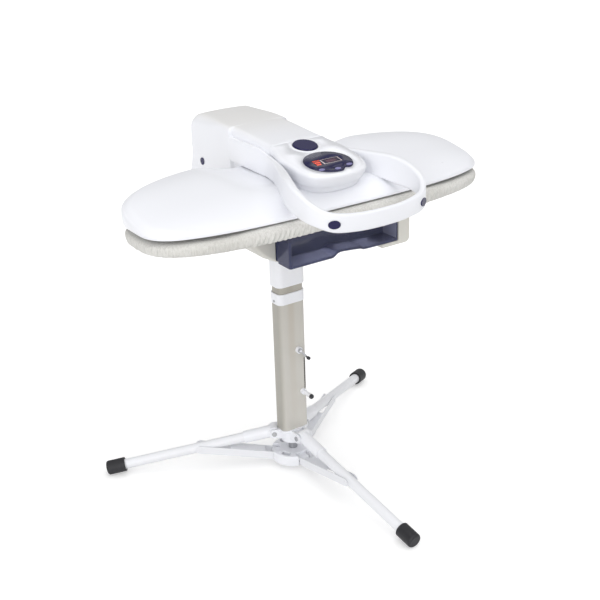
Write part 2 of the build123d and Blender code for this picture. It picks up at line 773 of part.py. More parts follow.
with BuildPart() as hinge_bracket:
    bracket_bottom = base_top + base_plate_thickness
    bracket_rear = hinge_y + 1
    with BuildSketch(Plane.XY.offset(bracket_bottom)):
        with Locations((0, (bracket_front - 4 + bracket_rear) / 2)):
            Rectangle(2 * pedestal_half, bracket_rear - bracket_front + 4)
    extrude(amount=bracket_plate)
    for offset in (-pedestal_half, pedestal_half - bracket_plate, -10 - bracket_plate, 10):
        with BuildSketch(Plane.YZ.offset(offset)):
            with BuildLine():
                Polyline((bracket_front, bracket_bottom), (bracket_rear, bracket_bottom), (bracket_rear, hinge_height),
                         (hinge_y - 13, hinge_height + 6), (hinge_y - 19, hinge_height),
                         (bracket_front, bracket_bottom + 12), close=True)
            make_face()
            with Locations((hinge_y - 3, hinge_height)):
                Circle(2 * hinge_pin_radius)
            with Locations((hinge_y, hinge_height)):
                Circle(hinge_pin_radius, mode=Mode.SUBTRACT)
        extrude(amount=bracket_plate)
keep(hinge_bracket, "hinge_bracket")

hinge_pin_half = arm_half_width - arm_wall + seat_gap

with BuildPart() as hinge_pin:
    with BuildSketch(Plane.YZ.offset(-hinge_pin_half)):
        with Locations((hinge_y, hinge_height)):
            Circle(hinge_pin_radius)
    extrude(amount=2 * hinge_pin_half)
keep(hinge_pin, "hinge_pin")

with BuildPart() as lift_springs:
    spring_foot = base_top + base_plate_thickness + bracket_plate + 3.15
    spring_leg_top = hinge_height - 2.15
    for start in (-pedestal_half + bracket_plate + 1, 11 + bracket_plate):
        with BuildSketch(Plane.YZ.offset(start)):
            with Locations((hinge_y, hinge_height)):
                Circle(hinge_pin_radius + 0.4 + spring_wall)
                Circle(hinge_pin_radius + 0.4, mode=Mode.SUBTRACT)
        extrude(amount=pedestal_half - 2 * bracket_plate - 12)
        # The leg of the spring that bears on the bracket's foot
        with BuildSketch(Plane.YZ.offset(start + 4)):
            with Locations((hinge_y - hinge_pin_radius - 3.5, (spring_foot + spring_leg_top) / 2)):
                Rectangle(3, spring_leg_top - spring_foot)
        extrude(amount=3)
keep(lift_springs, "lift_springs")

pump_y = bay_rear + 56
pump_radius = 22
pump_height = base_bottom + base_wall + pump_radius + 2
pump_start = -60
pump_length = 80
spout_radius = 5
spout_bore = 3

with BuildPart() as pump:
    with BuildSketch(Plane.YZ.offset(pump_start)):
        with Locations((pump_y, pump_height)):
            Circle(pump_radius)
    extrude(amount=pump_length)
    with BuildSketch(Plane.XY.offset(base_bottom + base_wall)):
        with Locations((pump_start + pump_length / 2, pump_y)):
            Rectangle(pump_length - 20, 36)
    extrude(amount=12)
    with BuildSketch(Plane.YZ.offset(pump_start + pump_length)):
        with Locations((pump_y, pump_height)):
            Circle(spout_radius)
            Circle(spout_bore, mode=Mode.SUBTRACT)
    extrude(amount=18)
keep(pump, "pump")


# Water tank drawer

tank_top = tank_lid_top - tank_lid_thickness
pocket_rear = tank_front + tank_pocket_depth


def pocket_floor(drop):
    """The wavy floor line of the front pocket seen from the front, with a hump for the fingers under it."""
    level = tank_floor - drop
    return Spline((-38, level), (-24, level + 0.8 * tank_floor_rise), (0, level + tank_floor_rise),
                  (45, level + 0.4 * tank_floor_rise), (90, level),
                  tangents=((1, 0.1), (1, 0)))


with BuildPart() as tank_body:
    with BuildSketch(Plane.XY.offset(tank_bottom)):
        with Locations((0, (tank_front + tank_rear) / 2)):
            RectangleRounded(2 * tank_half_width, tank_rear - tank_front, tank_corner)
    extrude(amount=tank_top - tank_bottom)
    # The front drops in a lip before the base's floor
    with BuildSketch(Plane.XY.offset(tank_bottom - tank_lip_drop)):
        with Locations((0, (tank_front + pocket_rear) / 2)):
            RectangleRounded(2 * tank_half_width, tank_pocket_depth, tank_corner)
    extrude(amount=tank_lip_drop + tank_wall)
    # Hand pocket across the front, open between its floor and the beam under the lid
    with BuildSketch(Plane.XZ.offset(-tank_front)):
        with BuildLine():
            floor_line = pocket_floor(0)
            pocket_end = tank_half_width - tank_pocket_margin
            Polyline(floor_line @ 0, (-pocket_end, tank_floor), (-pocket_end, tank_pocket_top),
                     (pocket_end, tank_pocket_top), (pocket_end, (floor_line @ 1).Y), floor_line @ 1)
        make_face()
    extrude(amount=-tank_pocket_depth, mode=Mode.SUBTRACT)
    # The underside follows the floor of the pocket
    with BuildSketch(Plane.XZ.offset(-tank_front)):
        with BuildLine():
            under_line = pocket_floor(tank_wall + tank_lip_drop)
            below_lip = tank_bottom - tank_lip_drop - 1
            Polyline(under_line @ 0, ((under_line @ 0).X, below_lip), ((under_line @ 1).X, below_lip),
                     under_line @ 1)
        make_face()
    extrude(amount=-tank_pocket_depth, mode=Mode.SUBTRACT)
    with BuildSketch(Plane.XY.offset(tank_floor)):
        with Locations((0, (pocket_rear + tank_rear) / 2)):
            RectangleRounded(2 * (tank_half_width - tank_wall), tank_rear - pocket_rear - 2 * tank_wall,
                             tank_corner - tank_wall)
    extrude(amount=tank_top, mode=Mode.SUBTRACT)
keep(tank_body, "tank_body")

tank_cap_x = 53 - tank_half_width
tank_cap_y = pocket_rear + 35
tank_cap_radius = 14

with BuildPart() as tank_lid:
    with BuildSketch(Plane.XY.offset(tank_top)):
        with Locations((0, (tank_front + tank_rear) / 2)):
            RectangleRounded(2 * tank_half_width, tank_rear - tank_front, tank_corner)
        with Locations((tank_cap_x, tank_cap_y)):
            Circle(tank_cap_radius - 3, mode=Mode.SUBTRACT)
    extrude(amount=tank_lid_thickness)
    with BuildSketch(Plane.XY.offset(tank_top + 1)):
        with Locations((tank_cap_x, tank_cap_y)):
            Circle(tank_cap_radius)
    extrude(amount=tank_lid_thickness, mode=Mode.SUBTRACT)
keep(tank_lid, "tank_lid")

with BuildPart() as tank_cap:
    with BuildSketch(Plane.XY.offset(tank_top + 1)):
        with Locations((tank_cap_x, tank_cap_y)):
            Circle(tank_cap_radius)
    extrude(amount=tank_lid_thickness - 1)
    with BuildSketch(Plane.XY.offset(tank_top + 1)):
        with Locations((tank_cap_x, tank_cap_y)):
            Circle(tank_cap_radius - 3)
    extrude(amount=-6)
keep(tank_cap, "tank_cap")


# Ironing board: tray, foam and fabric cover

tray_bottom = base_top + base_plate_thickness + board_platform_height
foam_bottom = tray_bottom + tray_thickness


def board_oval(height, inset):
    """One ring of the board's outline at a height."""
    points = oval_points(board_half_length - inset, board_half_depth - inset, board_half_depth - inset, board_exponent)
    with BuildSketch(Plane(origin=(0, board_centre_y, height))) as ring:
        with BuildLine():
            Spline(*[Vector(x, y) for x, y in points], periodic=True)
        make_face()
    return ring.sketch


def foam_block():
    """The foam pad, with its upper edge drawn in."""
    with BuildPart() as block:
        extrude(board_oval(foam_bottom, fabric_thickness + 8), amount=pad_edge_top - 8 - foam_bottom)
        loft([board_oval(pad_edge_top - 8, fabric_thickness + 8),
              board_oval(pad_edge_top - fabric_thickness, fabric_thickness + 22)], ruled=True)
    return block.part


with BuildPart() as board_tray:
    extrude(board_oval(tray_bottom, fabric_thickness + tray_inset), amount=tray_thickness)
    extrude(board_oval(tray_bottom + 1.5, fabric_thickness + tray_inset + 2), amount=tray_thickness, mode=Mode.SUBTRACT)
keep(board_tray, "board_tray")

with BuildPart() as foam_pad:
    add(foam_block())
keep(foam_pad, "foam_pad")

pad_rings = {pad_bottom: 9, pad_bottom + 4: 2.5, pad_bottom + 14: 0, pad_bottom + 24: 1.5, pad_edge_top - 2.5: 7,
             pad_edge_top: 20}
crown_rings = {pad_edge_top: 20, pad_edge_top + 0.6 * pad_crown: 60, pad_edge_top + pad_crown: 110}

with BuildPart() as pad_cover:
    loft([board_oval(height, inset) for height, inset in pad_rings.items()], ruled=True)
    loft([board_oval(height, inset) for height, inset in crown_rings.items()], ruled=True)
    # The tray and the foam fill the cover, and its hem turns in below the tray
    extrude(board_oval(tray_bottom, fabric_thickness + tray_inset), amount=tray_thickness, mode=Mode.SUBTRACT)
    add(foam_block(), mode=Mode.SUBTRACT)
    extrude(board_oval(pad_bottom - 1, hem_inset), amount=tray_bottom - pad_bottom + 1, mode=Mode.SUBTRACT)
keep(pad_cover, "pad_cover")


# Head: the oval cover with the heated plate under it

lean_stretch = math.sqrt(1 + cover_lean ** 2)


def cover_ring(height, inset, share=0.0):
    """One ring of the dome, leaning to the front, drawn in by an inset and by a share of its depth."""
    front = cover_front_depth * (1 - share) - inset
    rear = cover_rear_depth * (1 - share) - inset
    length_inset = cover_front_depth * share * (1 + (cover_half_length / cover_front_depth - 1) * share)
    points = oval_points(cover_half_length - length_inset - inset, front, rear, cover_exponent, lean_stretch)
    leaning = Plane(origin=(0, cover_centre_y, height), x_dir=(1, 0, 0), z_dir=(0, -cover_lean, 1))
    with BuildSketch(leaning) as ring:
        with BuildLine():
            Spline(*[Vector(x, y) for x, y in points], periodic=True)
        make_face()
    return ring.sketch


def dome_height(share):
    """The dome's height at its centre line for a ring drawn in by a share."""
    return cover_seam + cover_lip + cover_rise * (1 - (1 - share) ** dome_exponent)


def dome_block(raised, grown):
    """The whole dome as one block, raised and grown all round."""
    rim = cover_rim_radius + grown
    rim_foot = dome_height(0) - rim + raised
    rings = []
    for angle in (0, 35, 65):
        turn = math.radians(angle)
        rings.append(cover_ring(rim_foot + rim * math.sin(turn), rim * (1 - math.cos(turn)) - grown))
    for share in (0.12, 0.25, 0.4, 0.6, 0.8, 0.95):
        rings.append(cover_ring(dome_height(share) + raised, -grown, share))
    with BuildPart() as block:
        loft([cover_ring(cover_seam - 90, -grown), cover_ring(rim_foot, -grown)], ruled=True)
        loft(rings, ruled=True)
    return block.part


dome = dome_block(0, 0)

with BuildPart() as head_cover:
    add(dome)
    add(dome_block(-cover_wall, -cover_wall), mode=Mode.SUBTRACT)
    with BuildSketch(Plane.XY.offset(cover_seam)):
        Rectangle(3 * cover_half_length, 3 * cover_half_length)
    extrude(amount=-200, mode=Mode.SUBTRACT)
    with BuildSketch(Plane.XY.offset(cover_seam)):
        with Locations((0, (window_front + window_rear) / 2)):
            Rectangle(2 * window_half_width, window_rear - window_front)
    extrude(amount=200, mode=Mode.SUBTRACT)
keep(head_cover, "head_cover")


def element_track(gap):
    """The racetrack round the steam chamber that the heating element follows."""
    with BuildSketch(Plane(origin=(0, chamber_y, plate_top - element_radius))) as track:
        SlotOverall(element_length + gap, element_depth + gap)
        SlotOverall(element_length - 4 * element_radius - gap, element_depth - 4 * element_radius - gap,
                    mode=Mode.SUBTRACT)
    return track.sketch


with BuildPart() as heated_plate:
    with BuildSketch(Plane(origin=(0, cover_centre_y, plate_bottom))):
        with BuildLine():
            points = oval_points(cover_half_length - plate_inset, plate_front_depth, cover_rear_depth - plate_inset,
                                 cover_exponent)
            Spline(*[Vector(x, y) for x, y in points], periodic=True)
        make_face()
    extrude(amount=plate_thickness)
    extrude(element_track(0), amount=2 * element_radius, mode=Mode.SUBTRACT)
keep(heated_plate, "heated_plate")

with BuildPart() as heating_element:
    extrude(element_track(0), amount=2 * element_radius)
    fillet(heating_element.edges().group_by(Axis.Z)[-1], radius=element_radius - 0.6)
keep(heating_element, "heating_element")

with BuildPart() as steam_chamber:
    with BuildSketch(Plane(origin=(0, chamber_y, plate_top))):
        RectangleRounded(chamber_length, chamber_depth, 20)
    extrude(amount=chamber_height)
    with BuildSketch(Plane(origin=(0, chamber_y, plate_top))):
        RectangleRounded(chamber_length - 2 * chamber_wall, chamber_depth - 2 * chamber_wall, 20 - chamber_wall)
    extrude(amount=chamber_height - chamber_wall, mode=Mode.SUBTRACT)
keep(steam_chamber, "steam_chamber")


# Arm: a steel frame inside a plastic housing that narrows beside the handle


def housing_profile(shrink):
    """The housing's outline from the side, drawn in by its wall."""
    front = arm_front + shrink
    rear = arm_rear - shrink
    corner_y = arm_rear - arm_rear_fillet
    with BuildSketch(Plane.YZ) as profile:
        with BuildLine():
            Polyline((rear, arm_top_rear - arm_rear_fillet), (rear, arm_bottom), (front, arm_bottom),
                     (front, arm_top_front - shrink), (arm_middle_y, arm_top_middle - shrink), (corner_y, arm_top_rear - shrink))
            Spline((corner_y, arm_top_rear - shrink), (rear, arm_top_rear - arm_rear_fillet),
                   tangents=((1, 0.05), (0, -1)))
        make_face()
    return profile.sketch


with BuildPart() as arm_cover:
    extrude(housing_profile(0), amount=arm_half_width, both=True)
    side_edges = arm_cover.edges().filter_by(lambda edge: abs(edge.center().X) > arm_half_width - 1)
    fillet(side_edges.filter_by(lambda edge: edge.center().Z > arm_top_front - 30 or edge.center().Y > arm_rear - 1),
           radius=arm_top_fillet)
    # The neck beside the handle is narrower
    for side_sign in (-1, 1):
        with BuildSketch(Plane.XY.offset(arm_bottom - 1)):
            with Locations((side_sign * (arm_neck_half_width + 20), arm_step_y - 200)):
                Rectangle(40, 400)
        extrude(amount=300, mode=Mode.SUBTRACT)
    extrude(housing_profile(arm_wall), amount=arm_neck_half_width - arm_wall, both=True, mode=Mode.SUBTRACT)
    with BuildSketch(Plane.XY.offset(arm_bottom)):
        with Locations((0, (arm_step_y + arm_wall + arm_rear - arm_wall) / 2)):
            RectangleRounded(2 * (arm_half_width - arm_wall), arm_rear - arm_step_y - 2 * arm_wall, 9)
    extrude(amount=arm_top_middle - 12 - arm_bottom, mode=Mode.SUBTRACT)
    for side_sign in (-1, 1):
        with BuildSketch(Plane.YZ.offset(side_sign * (arm_neck_half_width - arm_wall - 1))):
            with Locations(*screw_spots):
                Circle(screw_radius)
        extrude(amount=side_sign * (arm_wall + 2), mode=Mode.SUBTRACT)
    add(dome, mode=Mode.SUBTRACT)
    # Seats of the hinge pin's ends
    with BuildSketch(Plane.YZ.offset(-arm_half_width - 1)):
        with Locations((hinge_y, hinge_height)):
            Circle(hinge_pin_radius + running_gap)
    extrude(amount=2 * arm_half_width + 2, mode=Mode.SUBTRACT)
keep(arm_cover, "arm_cover")

with BuildPart() as hinge_caps:
    for side_sign in (-1, 1):
        with BuildSketch(Plane.YZ.offset(side_sign * arm_half_width)):
            with Locations((hinge_y, hinge_height)):
                Circle(hinge_cap_radius)
        extrude(amount=side_sign * hinge_cap_height)
        with BuildSketch(Plane.YZ.offset(side_sign * arm_half_width)):
            with Locations((hinge_y, hinge_height)):
                Circle(hinge_pin_radius)
        extrude(amount=-side_sign * (arm_wall - 2 * seat_gap))
keep(hinge_caps, "hinge_caps")

frame_front = arm_front + 8

with BuildPart() as arm_frame:
    for offset in (-frame_half - frame_thickness, frame_half):
        with BuildSketch(Plane.YZ.offset(offset)):
            with BuildLine():
                Polyline((hinge_y + 3, hinge_height - 12), (hinge_y + 17, hinge_height + 4), (hinge_y - 5, frame_level + 13),
                         (frame_front, frame_level + 2), (frame_front, frame_foot), (frame_front + 49, frame_foot),
                         (10, frame_level), (190, frame_level), (hinge_y - 13, hinge_height - 8), close=True)
            make_face()
            with Locations((hinge_y, hinge_height)):
                Circle(hinge_pin_radius + 10)
                Circle(hinge_pin_radius + running_gap, mode=Mode.SUBTRACT)
        extrude(amount=frame_thickness)
    with BuildSketch(Plane.XY.offset(frame_level)):
        with Locations((0, 100)):
            Rectangle(2 * frame_half, 160)
    extrude(amount=frame_thickness)
    with BuildSketch(Plane.XY.offset(frame_foot)):
        with Locations((0, frame_front + 20)):
            Rectangle(2 * frame_half, 40)
    extrude(amount=frame_thickness)
keep(arm_frame, "arm_frame")


# Control pod at the front of the arm: a sloping panel over a tapered body

control_plane = Plane(origin=(0, panel_y, panel_height), x_dir=(1, 0, 0),
                      z_dir=(0, -math.sin(math.radians(panel_tilt)), math.cos(math.radians(panel_tilt))))
panel_stretch = 1 / math.cos(math.radians(panel_tilt))
display_v = (display_y - panel_y) * panel_stretch
steam_button_v = (steam_button_y - panel_y) * panel_stretch
pod_roof = 4
pod_top_limit = panel_height + 39


def pod_outline(height, shrink):
    """The pod's outline from above, wider and longer with height."""
    half = pod_half_width - 6 + (height - pod_bottom) * 0.1 - shrink
    front = pod_front + 12 - (height - pod_bottom) * 0.52 + shrink
    rear = arm_front - shrink
    with BuildSketch(Plane.XY.offset(height)) as outline:
        with BuildLine():
            Polyline((0, rear), (half - pod_corner, rear))
            RadiusArc((half - pod_corner, rear), (half, rear - pod_corner), pod_corner)
            Line((half, rear - pod_corner), (half, pod_waist_y))
            Spline((half, pod_waist_y), (0.77 * half, front + 22), (0, front), (-0.77 * half, front + 22),
                   (-half, pod_waist_y), tangents=((0, -1), (0, 1)))
            Line((-half, pod_waist_y), (-half, rear - pod_corner))
            RadiusArc((-half, rear - pod_corner), (pod_corner - half, rear), pod_corner)
            Line((pod_corner - half, rear), (0, rear))
        make_face()
    return outline.sketch


def pod_block(shrink, roof):
    """The pod as a block under its sloping panel, with room for the handle's arms at its sides."""
    with BuildPart() as block:
        loft([pod_outline(pod_bottom + shrink, shrink), pod_outline(pod_top_limit, shrink)])
        split(bisect_by=control_plane.offset(-roof), keep=Keep.BOTTOM)
        for side_sign in (-1, 1):
            with BuildSketch(Plane.XY.offset(pod_bottom - 1)):
                with Locations((side_sign * (arm_neck_half_width - 2 - shrink + 30), arm_front + 10 - shrink)):
                    Rectangle(60, 200)
            extrude(amount=pod_cap_under + shrink - pod_bottom + 1, mode=Mode.SUBTRACT)
    return block.part


lcd_width = 46
lcd_depth = 25
lcd_v = display_v + 4
button_spots = {"left": (-38, display_v - 30), "middle": (0, display_v - 39), "right": (37, display_v - 31)}
button_length = 8
button_depth = 5
button_gap = 0.4
lens_thickness = 2


def panel_cut(shrink):
    """The openings of the panel: the display's window and the three button holes."""
    with BuildSketch(control_plane) as openings:
        with Locations((0, lcd_v)):
            Rectangle(lcd_width + 2 * shrink, lcd_depth + 2 * shrink)
        with Locations(*button_spots.values()):
            Ellipse(button_length + shrink, button_depth + shrink)
    return openings.sketch


with BuildPart() as control_pod:
    add(pod_block(0, 0))
    add(pod_block(pod_wall, pod_roof), mode=Mode.SUBTRACT)
    with BuildSketch(control_plane):
        with Locations((0, steam_button_v)):
            Circle(knob_ring_radius)
    extrude(amount=1.5)
    with BuildSketch(control_plane):
        with Locations((0, steam_button_v)):
            Circle(steam_button_radius)
    extrude(amount=10, both=True, mode=Mode.SUBTRACT)
    with BuildSketch(control_plane):
        with Locations((0, display_v)):
            Ellipse(display_length / 2, display_depth / 2)
    extrude(amount=-lens_thickness, mode=Mode.SUBTRACT)
    extrude(panel_cut(button_gap), amount=-10, mode=Mode.SUBTRACT)
    add(dome, mode=Mode.SUBTRACT)
keep(control_pod, "control_pod")

with BuildPart() as display_lens:
    with BuildSketch(control_plane.offset(-lens_thickness)):
        with Locations((0, display_v)):
            Ellipse(display_length / 2, display_depth / 2)
    extrude(amount=lens_thickness + 0.4)
    extrude(panel_cut(button_gap), amount=10, both=True, mode=Mode.SUBTRACT)
keep(display_lens, "display_lens")

board_depth = 7

with BuildPart() as lcd_panel:
    with BuildSketch(control_plane.offset(-board_depth)):
        with Locations((0, lcd_v)):
            Rectangle(lcd_width, lcd_depth)
    extrude(amount=board_depth - 0.3)
keep(lcd_panel, "lcd_panel")

with BuildPart() as control_board:
    with BuildSketch(control_plane.offset(-board_depth - 1.6)):
        with Locations((0, display_v)):
            Rectangle(100, 84)
    extrude(amount=1.6)
keep(control_board, "control_board")

for spot_name, spot in button_spots.items():
    with BuildPart() as panel_button:
        with BuildSketch(control_plane.offset(-board_depth + 1.8)):
            with Locations(spot):
                Ellipse(button_length, button_depth)
        extrude(amount=board_depth - 0.4)
        fillet(panel_button.faces().sort_by_distance(control_plane.offset(50).origin)[0].edges(), radius=0.6)
    keep(panel_button, f"{spot_name}_button")

with BuildPart() as steam_button:
    with BuildSketch(control_plane.offset(-7)):
        with Locations((0, steam_button_v)):
            Circle(steam_button_radius - 0.5)
    extrude(amount=11.5)
    top_rim = steam_button.faces().sort_by_distance(control_plane.offset(80).origin)[0].edges()
    fillet(top_rim, radius=2.5)
keep(steam_button, "steam_button")


# Handle: a horseshoe band that runs from the housing's sides round the front

arm_inner = [(96, -150), (114, -200), (134, -250), (146, -300), (141, -343), (113, -372), (57, -385.5)]
arm_outer = [(110, -150), (128, -200), (148, -250), (160, -300), (155, -348), (121, -385), (60, -398.5)]
arm_inner_start = (arm_neck_half_width, handle_root_y)
arm_outer_start = (arm_half_width, handle_root_y)

# The band's upper and lower edges seen from the side, as heights above the cover's seam
handle_upper_edge = [(-30, 97), (-60, 90), (-85, 89), (-200, 89.5), (-250, 88), (-300, 76), (-340, 62), (-385, 43),
                     (-410, 37)]
handle_lower_edge = [(-30, 36), (-200, 34), (-250, 25), (-300, 18), (-350, 12), (-385, 1), (-410, -4)]
handle_rear_top = 99
handle_rear_bottom = 39


def plug_plane(side_sign):
    """The plane of a plug's inner end, facing out of the handle's front corner."""
    turn = math.radians(plug_angle)
    outward = Vector(side_sign * math.sin(turn), -math.cos(turn), 0)
    spot = Vector(side_sign * plug_spot[0], plug_spot[1], plug_spot[2])
    return Plane(origin=spot - outward * (plug_depth - 1.2), x_dir=(math.cos(turn), side_sign * math.sin(turn), 0),
                 z_dir=outward)


def mirrored_curve(start, points, front):
    """A curve from one side's start round the front to the other side's start."""
    right = [start] + points
    left = [(-x, y) for x, y in reversed(right)]
    return Spline(*right, (0, front), *left, tangents=((0, -1), (0, 1)))


with BuildPart() as handle_loop:
    with BuildSketch(Plane.XY.offset(cover_seam - 16)):
        with BuildLine():
            mirrored_curve(arm_outer_start, arm_outer, handle_front)
            mirrored_curve(arm_inner_start, arm_inner, handle_front + handle_thickness)
            for side_sign in (-1, 1):
                Polyline((side_sign * arm_half_width, handle_root_y), (side_sign * arm_half_width, arm_step_y),
                         (side_sign * arm_neck_half_width, arm_step_y),
                         (side_sign * arm_neck_half_width, handle_root_y))
        make_face()
    extrude(amount=130)
    with BuildSketch(Plane(origin=(0, 0, cover_seam), x_dir=(0, 1, 0), z_dir=(1, 0, 0))):
        with BuildLine():
            Polyline(handle_upper_edge[0], (arm_step_y + 1, handle_rear_top), (arm_step_y + 1, handle_rear_bottom),
                     handle_lower_edge[0])
            Spline(*handle_upper_edge)
            Spline(*handle_lower_edge)
            Line(handle_upper_edge[-1], handle_lower_edge[-1])
        make_face()
    extrude(amount=200, both=True, mode=Mode.INTERSECT)
    add(dome_block(0.4, 0.4), mode=Mode.SUBTRACT)
    for side_sign in (-1, 1):
        # Blind seats of the plugs near the front corners
        with BuildSketch(plug_plane(side_sign)):
            Ellipse(plug_length / 2, plug_height / 2)
        extrude(amount=plug_depth, mode=Mode.SUBTRACT)
        with BuildSketch(Plane.YZ.offset(side_sign * arm_neck_half_width)):
            with Locations(*screw_spots):
                Circle(screw_radius)
        extrude(amount=side_sign * screw_depth, mode=Mode.SUBTRACT)
keep(handle_loop, "handle_loop")

with BuildPart() as handle_plugs:
    for side_sign in (-1, 1):
        with BuildSketch(plug_plane(side_sign)):
            Ellipse(plug_length / 2, plug_height / 2)
        extrude(amount=plug_depth)
keep(handle_plugs, "handle_plugs")

with BuildPart() as handle_screws:
    for side_sign in (-1, 1):
        with BuildSketch(Plane.YZ.offset(side_sign * (arm_neck_half_width - arm_wall))):
            with Locations(*screw_spots):
                Circle(screw_radius)
        extrude(amount=side_sign * (screw_depth + arm_wall))
        with BuildSketch(Plane.YZ.offset(side_sign * (arm_neck_half_width - arm_wall))):
            with Locations(*screw_spots):
                Circle(screw_radius + 2)
        extrude(amount=-side_sign * 2.5)
keep(handle_screws, "handle_screws")
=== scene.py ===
import json
import math

import bmesh
import bpy
from mathutils import Matrix, Vector, noise


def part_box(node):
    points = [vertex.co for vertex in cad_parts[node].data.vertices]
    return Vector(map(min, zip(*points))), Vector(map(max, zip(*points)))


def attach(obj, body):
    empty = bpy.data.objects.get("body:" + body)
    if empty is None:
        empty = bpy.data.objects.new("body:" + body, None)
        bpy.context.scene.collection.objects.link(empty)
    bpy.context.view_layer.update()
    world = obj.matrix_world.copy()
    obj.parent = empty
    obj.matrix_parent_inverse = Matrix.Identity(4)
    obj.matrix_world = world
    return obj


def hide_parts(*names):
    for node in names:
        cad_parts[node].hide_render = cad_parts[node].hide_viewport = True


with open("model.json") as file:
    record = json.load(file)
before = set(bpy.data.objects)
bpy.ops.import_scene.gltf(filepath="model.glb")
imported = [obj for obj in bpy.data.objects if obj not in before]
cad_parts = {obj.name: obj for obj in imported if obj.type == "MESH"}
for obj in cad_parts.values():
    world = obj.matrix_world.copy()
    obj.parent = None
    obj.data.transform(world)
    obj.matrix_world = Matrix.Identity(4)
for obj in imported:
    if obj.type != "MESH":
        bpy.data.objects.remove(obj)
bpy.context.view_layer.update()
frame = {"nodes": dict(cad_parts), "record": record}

# Steam ironing press on its folding stand: the shells and the padded board are modelled here,
# every other piece keeps the shape of the frame and gets its finish.

mm = 0.001


# Shader tools

def effect(name, inputs, outputs):
    """An empty node group with named sockets, and its two end nodes."""
    group = bpy.data.node_groups.new(name, "ShaderNodeTree")
    for label, kind, value in inputs:
        socket = group.interface.new_socket(name=label, in_out="INPUT", socket_type=kind)
        socket.default_value = value
    for label, kind in outputs:
        group.interface.new_socket(name=label, in_out="OUTPUT", socket_type=kind)
    return group, group.nodes.new("NodeGroupInput"), group.nodes.new("NodeGroupOutput")


def link(tree, source, target):
    tree.links.new(source, target)


def feed(tree, value, target):
    """Gives a socket its value, which is another socket or a constant."""
    if hasattr(value, "links"):
        link(tree, value, target)
    else:
        target.default_value = value


def node(tree, kind, **settings):
    """A node with its settings: a name with a capital is a socket, any other an option."""
    made = tree.nodes.new(kind)
    for key, value in settings.items():
        if key[0].isupper():
            feed(tree, value, made.inputs[key.replace("_", " ")])
        else:
            setattr(made, key, value)
    return made


def number(tree, operation, first, second=0.0):
    """A math node on two values, each a socket or a number."""
    made = node(tree, "ShaderNodeMath", operation=operation)
    feed(tree, first, made.inputs[0])
    feed(tree, second, made.inputs[1])
    return made.outputs[0]


def times(tree, first, second):
    return number(tree, "MULTIPLY", first, second)


def plus(tree, first, second):
    return number(tree, "ADD", first, second)


def minus(tree, first, second):
    return number(tree, "SUBTRACT", first, second)


def larger(tree, first, second):
    return number(tree, "MAXIMUM", first, second)


def distance(tree, first, second):
    return number(tree, "ABSOLUTE", minus(tree, first, second))


def blend_colours(tree, share, first, second):
    """A mix of two colours, each a socket or a colour, by a share."""
    made = node(tree, "ShaderNodeMix", data_type="RGBA")
    for socket, value in ((made.inputs[0], share), (made.inputs[6], first), (made.inputs[7], second)):
        feed(tree, value, socket)
    return made.outputs[2]


def ramp(tree, value, start, end, shape="SMOOTHSTEP"):
    """0 up to the start and 1 from the end on, turning from one to the other between them."""
    made = node(tree, "ShaderNodeMapRange", interpolation_type=shape, Value=value,
                From_Min=start, From_Max=end)
    return made.outputs["Result"]


def place(tree, space="Object"):
    """The place on a piece, in its own space."""
    return tree.nodes.new("ShaderNodeTexCoord").outputs[space]


def place_axis(tree, axis, space="Object"):
    """The place along one axis: in metres, or as a share of the piece's size in the Generated space."""
    parts = tree.nodes.new("ShaderNodeSeparateXYZ")
    link(tree, place(tree, space), parts.inputs[0])
    return parts.outputs[axis]


def facing(tree, axis, sign):
    """1 where a surface faces along an axis, falling smoothly to 0 where it is turned away."""
    toward = larger(tree, times(tree, place_axis(tree, axis, "Normal"), sign), 0.0)
    return times(tree, toward, toward)


def place_noise(tree, scale, detail=3.0, stretch=None):
    """Noise in the object's own space, stretched along an axis where given."""
    spot = place(tree)
    if stretch:
        spot = node(tree, "ShaderNodeMapping", Vector=spot, Scale=stretch).outputs["Vector"]
    return node(tree, "ShaderNodeTexNoise", Vector=spot, Scale=scale, Detail=detail).outputs["Fac"]


def colour(red, green, blue):
    """A colour as the eye reads it on a screen, 0 to 255, made linear."""
    def linear(value):
        value /= 255
        return value / 12.92 if value <= 0.04045 else ((value + 0.055) / 1.055) ** 2.4
    return linear(red), linear(green), linear(blue), 1.0


# Effects that several finishes share

def make_grain():
    """Fine grain of a moulding or a paint: a height, and a speckle from 0 to 1."""
    group, entry, leave = effect("surface grain", [("Scale", "NodeSocketFloat", 900.0)],
                                 [("Height", "NodeSocketFloat"), ("Speckle", "NodeSocketFloat")])
    coarse_share = 0.4
    coarse_scale = 0.12
    fine = place_noise(group, entry.outputs["Scale"], 2.0)
    coarse = place_noise(group, times(group, entry.outputs["Scale"], coarse_scale), 2.0)
    height = plus(group, times(group, fine, 1 - coarse_share), times(group, coarse, coarse_share))
    link(group, height, leave.inputs["Height"])
    link(group, fine, leave.inputs["Speckle"])
    return group


def make_handling():
    """Slow drift of colour and gloss, as years of handling leave on a smooth shell."""
    group, entry, leave = effect("handling", [("Color", "NodeSocketColor", (0.8, 0.8, 0.8, 1)),
                                              ("Tone", "NodeSocketColor", (0.7, 0.7, 0.7, 1)),
                                              ("Amount", "NodeSocketFloat", 0.2),
                                              ("Gloss", "NodeSocketFloat", 0.3),
                                              ("Spread", "NodeSocketFloat", 0.08)],
                                 [("Color", "NodeSocketColor"), ("Roughness", "NodeSocketFloat")])
    broad_scale = 5.0
    smudge_scale = 38.0
    share = times(group, place_noise(group, broad_scale), entry.outputs["Amount"])
    drifted = blend_colours(group, share, entry.outputs["Color"], entry.outputs["Tone"])
    smudge = minus(group, place_noise(group, smudge_scale, 4.0), 0.5)
    gloss = plus(group, entry.outputs["Gloss"], times(group, smudge, entry.outputs["Spread"]))
    link(group, drifted, leave.inputs["Color"])
    link(group, gloss, leave.inputs["Roughness"])
    return group


